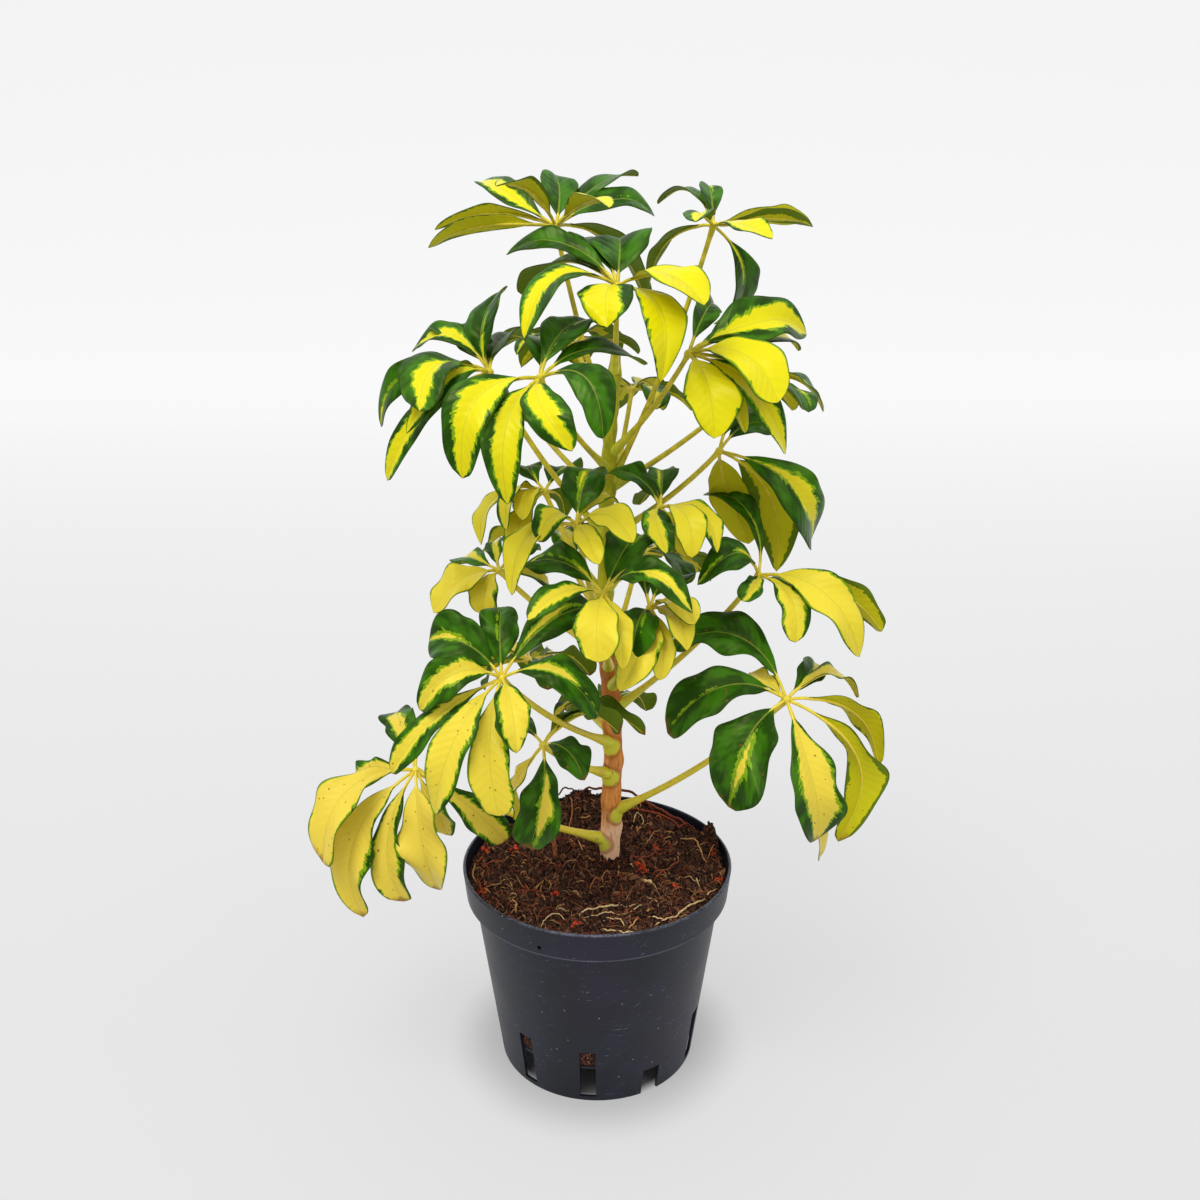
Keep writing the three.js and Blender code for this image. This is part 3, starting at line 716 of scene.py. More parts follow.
def lump_shape(tree, segments, rings):
    """A rough lump of a few dozen faces at most, about one unit in radius."""
    ball = make(tree, "GeometryNodeMeshUVSphere", {"Segments": segments, "Rings": rings, "Radius": 1.0})
    dents = (noise(position(tree), 1.6, 3, 0.7) - 0.5) * LUMP_DENTS
    return moved(ball, Offset=position(tree) * dents)


def random(tree, low, high, seed):
    return make(tree, "FunctionNodeRandomValue", {2: low, 3: high, "Seed": seed}, output=1)


def random_turns(tree, seed):
    """Any way up, as a rotation in radians."""
    values = {0: (0, 0, 0), 1: (math.tau, math.tau, math.tau), "Seed": seed}
    return make(tree, "FunctionNodeRandomValue", values, output=0, data_type="FLOAT_VECTOR")


def stored(geometry, name, value, kind="FLOAT", domain="POINT"):
    """The geometry with a named value kept at its points."""
    inputs = {"Geometry": geometry, "Name": name, "Value": value}
    return geometry.made("GeometryNodeStoreNamedAttribute", inputs, data_type=kind, domain=domain)


def over_top(tree, surface, density, seed):
    """Points strewn over the upward faces of the peat's top, clear of the pot's wall."""
    face_up = make(tree, "GeometryNodeInputNormal").part("z")
    high_up = position(tree).part("z")
    from_axis = size_of((position(tree) - tuple(AXIS)) * (1, 1, 0))
    chosen = worked("GREATER_THAN", face_up, STREWN_FACING) * worked("GREATER_THAN", high_up, STREWN_ABOVE)
    chosen = chosen * worked("LESS_THAN", from_axis, PEAT_REACH)
    inputs = {"Mesh": surface, "Selection": chosen, "Density": density, "Seed": seed}
    return make(tree, "GeometryNodeDistributePointsOnFaces", inputs)


crumb_tree, crumb_in = geometry_tree("crumbs_on_top", {
    "Density": "Float", "Smallest": "Float", "Largest": "Float", "Segments": "Int", "Rings": "Int",
    "Seed": "Int", "Material": "Material",
})
crumb_points = over_top(crumb_tree, crumb_in["Geometry"], crumb_in["Density"], crumb_in["Seed"])
crumb_chance = random(crumb_tree, 0.0, 1.0, crumb_in["Seed"] + 1)
crumb_size = between(crumb_chance * crumb_chance, crumb_in["Smallest"], crumb_in["Largest"])
crumb_points = stored(crumb_points, "tone", random(crumb_tree, 0.0, 1.0, crumb_in["Seed"] + 5))
crumb_places = moved(crumb_points, Offset=vector_of(crumb_tree, 0, 0, crumb_in["Smallest"] * 0.5))
crumb_chip = make(crumb_tree, "GeometryNodeTransform", {
    "Geometry": lump_shape(crumb_tree, crumb_in["Segments"], crumb_in["Rings"]), "Scale": (1.4, 0.6, 0.4),
})
crumbs_made = make(crumb_tree, "GeometryNodeInstanceOnPoints", {
    "Points": crumb_places,
    "Instance": crumb_chip,
    "Rotation": random_turns(crumb_tree, crumb_in["Seed"] + 2),
    "Scale": crumb_size,
})
ends(crumb_tree, crumbs_made, crumb_in["Material"])

for name, values in (("peat_crumbs", CRUMBS), ("large_crumbs", LARGE_CRUMBS)):
    on_root(grown(name, peat.data.copy(), crumb_tree, Material=peat_look, **values), "peat")

perlite_look, perlite_shader, perlite_place = new_material("perlite", 0.8, 0.3)
feed(perlite_shader.inputs["Base Color"], painted(noise(perlite_place, 900), "#b9b2a6", "#efeae0"))
perlite = grown("perlite_grains", peat.data.copy(), crumb_tree, Material=perlite_look, **PERLITE)
on_root(perlite, "peat")

red_look, red_shader, red_place = new_material("red_bark_flakes", 0.7, 0.3)
red_patches = noise(red_place, 500, 3)
red_colour = painted(ramp(red_patches, 0.35, 0.65), RED_FLAKES["dark"], RED_FLAKES["bright"])
feed(red_shader.inputs["Base Color"], red_colour)
raised(red_shader, red_patches, 0.0008, 0.6)
flake_tree, flake_in = geometry_tree("flakes_in_clumps", {
    "Count": "Int", "Spread": "Float", "Size": "Float", "Seed": "Int", "Ground": "Object",
    "Material": "Material",
})
clump_points = make(flake_tree, "GeometryNodeMeshToPoints", {"Mesh": flake_in["Geometry"]})
copies = make(flake_tree, "GeometryNodeDuplicateElements",
              {"Geometry": clump_points, "Amount": flake_in["Count"]}, domain="POINT")
spread_out = {0: (-1, -1, 0), 1: (1, 1, 0), "Seed": flake_in["Seed"]}
spread_out = make(flake_tree, "FunctionNodeRandomValue", spread_out, output=0, data_type="FLOAT_VECTOR")
flake_places = moved(copies, Offset=spread_out * flake_in["Spread"])


def ground_under(tree, ground, point):
    """The place on the peat straight below or above a point, moved inwards where it is past the wall."""
    target = make(
        tree, "GeometryNodeObjectInfo", {"Object": ground}, output="Geometry", transform_space="RELATIVE",
    )
    outward = (point - tuple(AXIS)) * (1, 1, 0)
    drawn_in = scaled(outward, worked("MINIMUM", worked("DIVIDE", PEAT_REACH, size_of(outward)), 1.0))
    inputs = {
        "Target Geometry": target,
        "Source Position": drawn_in + (AXIS.x, AXIS.y, DROP_FROM),
        "Ray Direction": (0, 0, -1),
        "Ray Length": DROP_REACH,
    }
    return make(tree, "GeometryNodeRaycast", inputs, output="Hit Position")


flake_ground = ground_under(flake_tree, flake_in["Ground"], position(flake_tree))
flake_places = moved(flake_places, Position=flake_ground + (0, 0, 0.5 * MM))
flakes_made = make(flake_tree, "GeometryNodeInstanceOnPoints", {
    "Points": flake_places,
    "Instance": make(flake_tree, "GeometryNodeTransform",
                     {"Geometry": lump_shape(flake_tree, 7, 4), "Scale": (1, 0.55, 0.25)}),
    "Rotation": random_turns(flake_tree, flake_in["Seed"] + 1),
    "Scale": random(flake_tree, 0.3, 1.0, flake_in["Seed"] + 2) * flake_in["Size"],
})
ends(flake_tree, flakes_made, flake_in["Material"])
for name, clumps, values, look in (
    ("red_flakes", FLAKE_CLUMPS, FLAKES, red_look), ("crumb_clumps", CRUMB_CLUMPS, CLUMP, peat_look),
):
    clump_mesh = bpy.data.meshes.new(name)
    clump_mesh.from_pydata([at((x, y, PEAT_TOP)) for x, y in clumps], [], [])
    on_root(grown(name, clump_mesh, flake_tree, Ground=peat, Material=look, **values), "peat")

# Roots and fibres
# Thin tan and red-brown roots lie on the peat and loop out of it, most of them along the front edge and
# over the rim at the back. Short peat fibres lie between them in every direction.
ROOTS = [
    {"line": [[-10, 4], [6, -10], [22, -1]], "thick": 0.8, "tone": 0.28, "lift": 1, "wiggle": 1},
    {"line": [[22, -1], [40, 12], [57, 20]], "thick": 0.9, "tone": 0.28, "lift": 2, "wiggle": 1},
    {"line": [[39, 46], [48, 37], [56, 25]], "thick": 0.7, "tone": 0.3, "lift": 2, "wiggle": 1},
    {"line": [[61, 9], [49, -4], [38, -19]], "thick": 0.9, "tone": 0.42, "lift": 3, "wiggle": 1},
    {"line": [[29, 27], [34, 9], [39, -3]], "thick": 0.7, "tone": 0.25, "lift": 1.5, "wiggle": 1.5},
    {"line": [[57, 51], [69, 56], [79, 50]], "thick": 0.8, "tone": 0.26, "lift": 2, "wiggle": 1},
    {"line": [[40, -34], [52, -33], [56, -24]], "thick": 0.7, "tone": 0.28, "lift": 1, "wiggle": 1.5},
    {"line": [[-60, -25], [-44, -26], [-31, -31]], "thick": 0.8, "tone": 0.26, "lift": 1, "wiggle": 1},
    {"line": [[-57, 20], [-49, 14]], "thick": 0.8, "tone": 0.3, "lift": 1, "wiggle": 0.5},
    {"line": [[-84, -14], [-79, -30], [-75, -38]], "thick": 1, "tone": 0.3, "lift": 1, "wiggle": 2},
    {"line": [[-43, -9], [-32, 1], [-23, 6]], "thick": 0.7, "tone": 0.15, "lift": 1.5, "wiggle": 1.5},
    {"line": [[-88, 26], [-84, 34], [-78, 38]], "thick": 0.8, "tone": 0.3, "lift": 1, "wiggle": 2},
    {"line": [[54, 28], [62, 34], [71, 33], [75, 18], [79, 8]],
     "thick": 1.2, "tone": 0.72, "lift": 3, "wiggle": 4},
    {"line": [[82, -24], [74, -36], [59, -50], [48, -60], [38, -66]],
     "thick": 1.5, "tone": 0.82, "lift": 2, "wiggle": 3},
    {"line": [[-14, -62], [-8, -50], [9, -47], [27, -41]],
     "thick": 1.3, "tone": 0.9, "lift": 2, "wiggle": 3},
    {"line": [[-10, -58], [4, -54], [18, -52], [32, -44]],
     "thick": 0.8, "tone": 0.85, "lift": 2, "wiggle": 5},
    {"line": [[34, -33], [40, -38], [42, -46]], "thick": 0.7, "tone": 0.9, "lift": 1.5, "wiggle": 3},
    {"line": [[2, -70], [17, -75], [31, -72]], "thick": 1.3, "tone": 0.9, "lift": 1, "wiggle": 2},
    {"line": [[20, -72], [28, -60]], "thick": 1.3, "tone": 0.7, "lift": 1, "wiggle": 1},
    {"line": [[-37, -68], [-33, -57], [-26, -54], [-20, -63]],
     "thick": 0.9, "tone": 0.85, "lift": 2, "wiggle": 3},
    {"line": [[-28, -49], [-18, -51]], "thick": 1, "tone": 0.88, "lift": 1, "wiggle": 2},
    {"line": [[-61, -16], [-59, -26]], "thick": 0.9, "tone": 0.7, "lift": 2, "wiggle": 4},
    {"line": [[-61, -40], [-55, -44], [-54, -54]], "thick": 1.1, "tone": 0.75, "lift": 2, "wiggle": 4},
    {"line": [[-87, 8], [-88, -8], [-84, -18]], "thick": 1.1, "tone": 0.75, "lift": 1, "wiggle": 3},
    {"line": [[34, -56], [45, -61]], "thick": 1, "tone": 0.9, "lift": 1, "wiggle": 1},
    {"line": [[6, -56], [15, -62], [18, -70]], "thick": 0.9, "tone": 0.85, "lift": 1.5, "wiggle": 3},
    {"line": [[-17, 44], [-13, 29], [-10, 13]], "thick": 0.9, "tone": 0.6, "lift": 2, "wiggle": 4},
    {"line": [[-23, 88], [-19, 66], [-22, 51]], "thick": 1, "tone": 0.5, "lift": 3, "wiggle": 4},
    {"line": [[15, -8], [15, -19]], "thick": 1, "tone": 0.65, "lift": 1, "wiggle": 2},
    {"line": [[36, 25], [41, 41], [48, 47]], "thick": 0.7, "tone": 0.7, "lift": 3, "wiggle": 5},
    {"line": [[26, 46], [30, 63], [35, 55], [31, 48]], "thick": 0.8, "tone": 0.8, "lift": 4, "wiggle": 4},
    {"line": [[31, -19], [39, -22]], "thick": 2.2, "tone": 0.92, "lift": 0.5, "wiggle": 0.5},
    {"line": [[70, -11], [71, -25]], "thick": 1.2, "tone": 0.8, "lift": 1, "wiggle": 2},
    {"line": [[56, -13], [64, -12], [70, -18]], "thick": 0.7, "tone": 0.8, "lift": 2, "wiggle": 5},
    {"line": [[-6, -34], [-2, -23], [4, -18]], "thick": 0.7, "tone": 0.5, "lift": 2, "wiggle": 4},
    {"line": [[-34, 80], [-26, 86], [-16, 83]], "thick": 1.3, "tone": 0.12, "lift": 9, "wiggle": 4},
    {"line": [[-16, 80], [-2, 86], [18, 86], [34, 80], [46, 74]],
     "thick": 2.1, "tone": 0.16, "lift": 9, "wiggle": 4},
    {"line": [[20, 84], [40, 79], [58, 65], [70, 52]],
     "thick": 2.4, "tone": 0.18, "lift": 4, "wiggle": 4},
    {"line": [[24, 70], [40, 70], [56, 62], [62, 52]],
     "thick": 1.5, "tone": 0.28, "lift": 3, "wiggle": 5},
    {"line": [[2, 70], [10, 60], [22, 64]], "thick": 1, "tone": 0.2, "lift": 4, "wiggle": 5},
]
ROOT_SIDES = 6
ROOT_POINTS = 26
FIBRE_SIDES = 3
ROOT_TONES = {"dark": "#2c170d", "red": "#a34427", "tan": "#d2985a", "pale": "#f6d59c"}
FIBRES = {
    "Density": 26000.0, "Shortest": 3 * MM, "Longest": 16 * MM, "Thinnest": 0.13 * MM,
    "Thickest": 0.5 * MM, "Lift": 2.0 * MM, "Wiggle": 3 * MM, "Seed": 12,
}
SLIVERS = {
    "Density": 7000.0, "Shortest": 3 * MM, "Longest": 10 * MM, "Thinnest": 0.25 * MM,
    "Thickest": 1.0 * MM, "Lift": 1.2 * MM, "Wiggle": 0.6 * MM, "Seed": 45,
}

root_look, root_shader, root_place = new_material("root_skin", 0.65, 0.3)
root_tone = kept_value(root_look, "tone")
root_streak = effect(streaks, Place=root_place, Stretch=(1.0, 1.0, 1.0), Per_metre=900.0)
root_colour = painted(ramp(root_tone, 0.05, 0.3), ROOT_TONES["dark"], ROOT_TONES["red"])
root_colour = painted(ramp(root_tone, 0.35, 0.65), root_colour, ROOT_TONES["tan"])
root_colour = painted(ramp(root_tone + root_streak * 0.3, 0.85, 1.05), root_colour, ROOT_TONES["pale"])
root_colour = painted(ramp(root_streak, 0.6, 0.4) * 0.45, root_colour, ROOT_TONES["dark"])
feed(root_shader.inputs["Base Color"], root_colour)
raised(root_shader, root_streak, 0.0003, 0.6)


def attribute(tree, name, kind="FLOAT"):
    return make(tree, "GeometryNodeInputNamedAttribute", {"Name": name}, data_type=kind)


def rods(tree, curves, sides, radius):
    """Closed round rods along curves, with a radius that may differ from place to place."""
    circle = make(tree, "GeometryNodeCurvePrimitiveCircle", {"Resolution": sides, "Radius": 1.0})
    inputs = {"Curve": curves, "Profile Curve": circle, "Scale": radius, "Fill Caps": True}
    return make(tree, "GeometryNodeCurveToMesh", inputs)


def on_ground(tree, curves, ground, lift, wiggle, sides):
    """Curves let down on the ground, lifted in their middle, wiggled, and made into rods."""
    spline = make(tree, "GeometryNodeSplineParameter", output="Factor")
    bow = spline * (1 - spline) * 4
    inputs = {"Vector": position(tree), "Scale": 90.0, "Detail": 2.0}
    shake = make(tree, "ShaderNodeTexNoise", inputs, output="Color")
    aside = (shake - (0.5, 0.5, 0.5)) * wiggle
    here = position(tree) + aside
    lowered = ground_under(tree, ground, here) + vector_of(tree, 0, 0, bow * lift + aside.part("z"))
    laid = moved(curves, Position=lowered)
    taper = worked("POWER", bow * 0.92 + 0.08, 0.35)
    return rods(tree, laid, sides, attribute(tree, "thick") * taper)


fibre_tree, fibre_in = geometry_tree("fibres_on_top", {
    "Density": "Float", "Shortest": "Float", "Longest": "Float", "Thinnest": "Float", "Thickest": "Float",
    "Lift": "Float", "Wiggle": "Float", "Seed": "Int", "Ground": "Object", "Material": "Material",
})
fibre_points = over_top(fibre_tree, fibre_in["Geometry"], fibre_in["Density"], fibre_in["Seed"])
fibre_chance = random(fibre_tree, 0.0, 1.0, fibre_in["Seed"] + 1)
fibre_thick = between(fibre_chance ** 3, fibre_in["Thinnest"], fibre_in["Thickest"])
fibre_points = stored(fibre_points, "thick", fibre_thick)
fibre_points = stored(fibre_points, "tone", random(fibre_tree, 0.0, 0.8, fibre_in["Seed"] + 2))
fibre_line = make(fibre_tree, "GeometryNodeCurveQuadraticBezier", {
    "Resolution": 6, "Start": (-0.5, 0, 0), "Middle": (0, 0.16, 0), "End": (0.5, 0, 0),
})
fibre_turn = vector_of(fibre_tree, 0, 0, random(fibre_tree, 0.0, math.tau, fibre_in["Seed"] + 3))
fibre_length = random(fibre_tree, 0.0, 1.0, fibre_in["Seed"] + 4)
fibre_length = between(fibre_length * fibre_length, fibre_in["Shortest"], fibre_in["Longest"])
fibre_lines = make(fibre_tree, "GeometryNodeInstanceOnPoints", {
    "Points": fibre_points, "Instance": fibre_line, "Rotation": fibre_turn, "Scale": fibre_length,
})
fibre_lines = make(fibre_tree, "GeometryNodeRealizeInstances", {"Geometry": fibre_lines})
fibres_made = on_ground(
    fibre_tree, fibre_lines, fibre_in["Ground"], fibre_in["Lift"], fibre_in["Wiggle"], FIBRE_SIDES,
)
ends(fibre_tree, fibres_made, fibre_in["Material"])
for name, values in {"peat_fibres": FIBRES, "peat_slivers": SLIVERS}.items():
    on_root(grown(name, peat.data.copy(), fibre_tree, Ground=peat, Material=root_look, **values), "peat")


def smooth_line(line, count):
    """A smooth curve through the line's points, with this many points along it."""
    line = line.made("GeometryNodeCurveSplineType", {"Curve": line}, spline_type="CATMULL_ROM")
    return line.made("GeometryNodeResampleCurve", {"Curve": line, "Count": count})


root_tree, root_in = geometry_tree("roots_on_top", {
    "Points a root": "Int", "Ground": "Object", "Material": "Material",
})
root_lines = make(root_tree, "GeometryNodeMeshToCurve", {"Mesh": root_in["Geometry"]})
root_lines = smooth_line(root_lines, root_in["Points a root"])
roots_made = on_ground(
    root_tree, root_lines, root_in["Ground"], attribute(root_tree, "lift"), attribute(root_tree, "wiggle"),
    ROOT_SIDES,
)
ends(root_tree, roots_made, root_in["Material"])


def lines_mesh(name, lines, values):
    """Separate lines of points in one mesh, with each line's values kept at its points."""
    points = [at(point) for line in lines for point in line]
    edges = []
    start = 0
    for line in lines:
        edges += [(start + i, start + i + 1) for i in range(len(line) - 1)]
        start += len(line)
    mesh = bpy.data.meshes.new(name)
    mesh.from_pydata(points, edges, [])
    for label, numbers in values.items():
        kept = mesh.attributes.new(label, "FLOAT", "POINT")
        kept.data.foreach_set("value", [n for line, n in zip(lines, numbers) for _ in line])
    return mesh


root_routes = [[(x, y, PEAT_TOP) for x, y in root["line"]] for root in ROOTS]
root_mesh = lines_mesh("root_lines", root_routes, {
    "thick": [root["thick"] * 0.5 * MM for root in ROOTS],
    "tone": [root["tone"] for root in ROOTS],
    "lift": [root["lift"] * MM for root in ROOTS],
    "wiggle": [root["wiggle"] * MM for root in ROOTS],
})
roots = grown(
    "loose_roots", root_mesh, root_tree, Points_a_root=ROOT_POINTS, Ground=peat, Material=root_look,
)
on_root(roots, "peat")

# Stem
# One woody stem, grown from inside the peat to the top leaf. Old bark low down is brown and furrowed,
# whitish at its very foot; higher up the skin is young and yellow-green, with a knot under each leaf.
STEM_LINE = [
    [9, 0, 110], [9, 0, 150], [10, -2, 200], [11, -4, 243], [9, -4, 280],
    [6, -3, 320], [5, -2, 350], [6, -1, 400], [8, 0, 450], [12, 1, 506],
]
LEAF_NODES = [
    [457, 150], [418, 5], [490, -86], [440, -38], [388, -151], [432, -115], [386, -4], [266, -12],
    [313, -109], [296, -94], [282, -72], [242, -124], [165, -160], [218, -126], [188, -27], [306, 162],
    [345, 161], [350, -45], [470, 109], [402, 80], [325, 113], [302, 75], [252, 127], [205, 89],
    [412, 132], [418, 31],
]
OLD_SCARS = [[176, 20], [198, -120], [229, -40], [257, -150], [274, 30]]
NODE_DEPTH = 0.8
KNOT_KINDS = {"none": 0, "scar": 0.7, "node": 1}
NODES_ONLY = 0.9
NODES_AND_SCARS = 0.5
STEM = {
    "Foot height": 100 * MM, "Tip height": 506 * MM, "Foot radius": 7.4 * MM, "Tip radius": 3.0 * MM,
    "Knot height": 2.1 * MM, "Knot reach": 7 * MM, "Furrow depth": 0.3 * MM,
    "Rings along": 420, "Sides": 44,
}
BARK = {
    "pale": "#ffcfa6", "tan": "#ea9a4e", "brown": "#c97d38", "pit": "#6b3616",
    "young": "#c3bc1c", "green": "#9a9e14", "scar": "#d8c456", "collar": "#dcdc44", "ring": "#a5591f",
}
BARK_FOOT = (168, 190)
YOUNG_SKIN = (318, 352)
LIME_COLLARS = (270, 256)


def stem_at(height):
    """The middle of the stem at a height, in millimetres."""
    for low, high in zip(STEM_LINE, STEM_LINE[1:]):
        if height <= high[2]:
            share = (height - low[2]) / (high[2] - low[2])
            return [a + (b - a) * share for a, b in zip(low, high)]
    return STEM_LINE[-1]


def stem_radius_at(height):
    """The stem's radius in metres at a height in millimetres."""
    share = (height * MM - STEM["Foot height"]) / (STEM["Tip height"] - STEM["Foot height"])
    return STEM["Foot radius"] + (STEM["Tip radius"] - STEM["Foot radius"]) * share


bark, bark_shader, bark_place = new_material("bark", 0.8, 0.25)
bark_height = bark_place.part("z")
bark_streak = effect(streaks, Place=bark_place, Stretch=(1.0, 1.0, 0.16), Per_metre=520.0)
bark_patch = noise(bark_place * (1, 1, 0.4), 130, 3, 0.6)
old_colour = painted(ramp(bark_streak, 0.35, 0.62), BARK["brown"], BARK["tan"])
old_colour = painted(ramp(bark_patch, 0.52, 0.7) * 0.45, old_colour, BARK["pale"])
old_colour = painted(ramp(bark_streak, 0.38, 0.28) * 0.6, old_colour, BARK["pit"])
foot_share = ramp(bark_height + (bark_patch - 0.5) * 0.05, BARK_FOOT[1] * MM, BARK_FOOT[0] * MM)
old_colour = painted(foot_share * ramp(bark_streak, 0.2, 0.45), old_colour, BARK["pale"])
young_colour = painted(ramp(bark_patch, 0.35, 0.65), BARK["green"], BARK["young"])
young_colour = painted(ramp(bark_streak, 0.62, 0.75) * 0.5, young_colour, BARK["scar"])
young_share = ramp(bark_height + (bark_patch - 0.5) * 0.06, YOUNG_SKIN[0] * MM, YOUNG_SKIN[1] * MM)
bark_colour = painted(young_share, old_colour, young_colour)
collar = kept_value(bark, "collar")
collar_edge = collar + (bark_patch - 0.5) * 0.3
ring_share = ramp(collar_edge, 0.1, 0.24) * (1 - young_share)
bark_colour = painted(ring_share * 0.6, bark_colour, BARK["ring"])
low_down = ramp(bark_height, LIME_COLLARS[0] * MM, LIME_COLLARS[1] * MM)
bark_colour = painted(ramp(collar_edge, 0.26, 0.5) * low_down * 0.9, bark_colour, BARK["collar"])
bark_pits = effect(specks, Place=bark_place * (1, 1, 0.6), Per_metre=420.0, Share=0.16)
feed(bark_shader.inputs["Base Color"], painted(bark_pits * 0.55, bark_colour, BARK["pit"]))
feed(bark_shader.inputs["Roughness"], between(young_share, 0.85, 0.45))
raised(bark_shader, bark_streak + bark_patch * 0.5 - bark_pits * 0.4, 0.0006, 0.6)

stem_tree, stem_in = geometry_tree("woody_stem", {
    "Foot height": "Float", "Tip height": "Float", "Foot radius": "Float", "Tip radius": "Float",
    "Knot height": "Float", "Knot reach": "Float", "Furrow depth": "Float",
    "Rings along": "Int", "Sides": "Int", "Material": "Material",
})
stem_line = make(stem_tree, "GeometryNodeMeshToCurve", {"Mesh": stem_in["Geometry"]})
stem_line = smooth_line(stem_line, stem_in["Rings along"])
stem_height = stem_in["Tip height"] - stem_in["Foot height"]
stem_rise = (position(stem_tree).part("z") - stem_in["Foot height"]) / stem_height


def nearness(least):
    """1 at the knots whose kind is above this number, falling to 0 away from them."""
    chosen = worked("GREATER_THAN", attribute(stem_tree, "knot"), least)
    inputs = {"Geometry": stem_in["Geometry"], "Selection": chosen}
    knots = make(stem_tree, "GeometryNodeSeparateGeometry", inputs, domain="POINT")
    away = knots.made("GeometryNodeProximity", {0: knots}, output="Distance", target_element="POINTS")
    away = away / stem_in["Knot reach"]
    return worked("EXPONENT", away * away * -1.0)


stem_radius = between(stem_rise, stem_in["Foot radius"], stem_in["Tip radius"])
stem_rods = rods(stem_tree, stem_line, stem_in["Sides"], stem_radius)
stem_rods = stored(stem_rods, "collar", nearness(NODES_ONLY))
swelling = nearness(NODES_AND_SCARS) * stem_in["Knot height"]
furrow_place = position(stem_tree) * (1, 1, 0.2)
furrows = noise(furrow_place, 380, 4, 0.65) - 0.5
bulges = noise(position(stem_tree), 55, 2) - 0.5
furrows = (furrows + bulges) * stem_in["Furrow depth"]
stem_normal = make(stem_tree, "GeometryNodeInputNormal")
stem_made = make(stem_tree, "GeometryNodeSetShadeSmooth", {
    "Geometry": moved(stem_rods, Offset=stem_normal * (furrows + swelling)),
})
ends(stem_tree, stem_made, stem_in["Material"])


def skin_point(height, bearing):
    """A place just inside the stem's skin at a height, on the side of a bearing in degrees."""
    out = stem_radius_at(height) / MM * NODE_DEPTH
    turn = math.radians(bearing)
    middle = stem_at(height)
    return [middle[0] + out * math.cos(turn), middle[1] + out * math.sin(turn), height]


def grown_stem(name, line, nodes, scars, material, sizes):
    """A stem or stub along a line, with a swelling at each node that bears a leaf and each old scar."""
    knots = [[skin_point(*knot)] for knot in nodes + scars]
    kinds = [KNOT_KINDS["none"]] + [KNOT_KINDS["node"]] * len(nodes) + [KNOT_KINDS["scar"]] * len(scars)
    mesh = lines_mesh(name, [line, *knots], {"knot": kinds})
    values = {label.replace(" ", "_"): value for label, value in sizes.items()}
    return grown(name, mesh, stem_tree, Material=material, **values)


stem = grown_stem("stem", STEM_LINE, LEAF_NODES, OLD_SCARS, bark, STEM)
on_root(stem, "bark", "trunk")

# Dry stub
# The stump of a dead side shoot stands in the peat to the left of the stem, dry and brown.
STUB_LINE = [[-30, 17, 128], [-31, 17, 150], [-34, 16, 170], [-35, 16, 188]]
STUB = {
    "Foot height": 124 * MM, "Tip height": 188 * MM, "Foot radius": 1.8 * MM, "Tip radius": 1.3 * MM,
    "Knot height": 0.0, "Knot reach": 5 * MM, "Furrow depth": 0.5 * MM, "Rings along": 60, "Sides": 14,
}
dry_wood, dry_shader, dry_place = new_material("dry_wood", 0.85, 0.2)
dry_streak = effect(streaks, Place=dry_place, Stretch=(1.0, 1.0, 0.2), Per_metre=900.0)
feed(dry_shader.inputs["Base Color"], painted(ramp(dry_streak, 0.3, 0.6), "#6a3520", "#b0704c"))
raised(dry_shader, dry_streak, 0.0004, 0.7)
stub = grown_stem("dry_stub", STUB_LINE, [[STUB_LINE[0][2], 0]], [], dry_wood, STUB)
on_root(stub, "dead_wood", "twig")

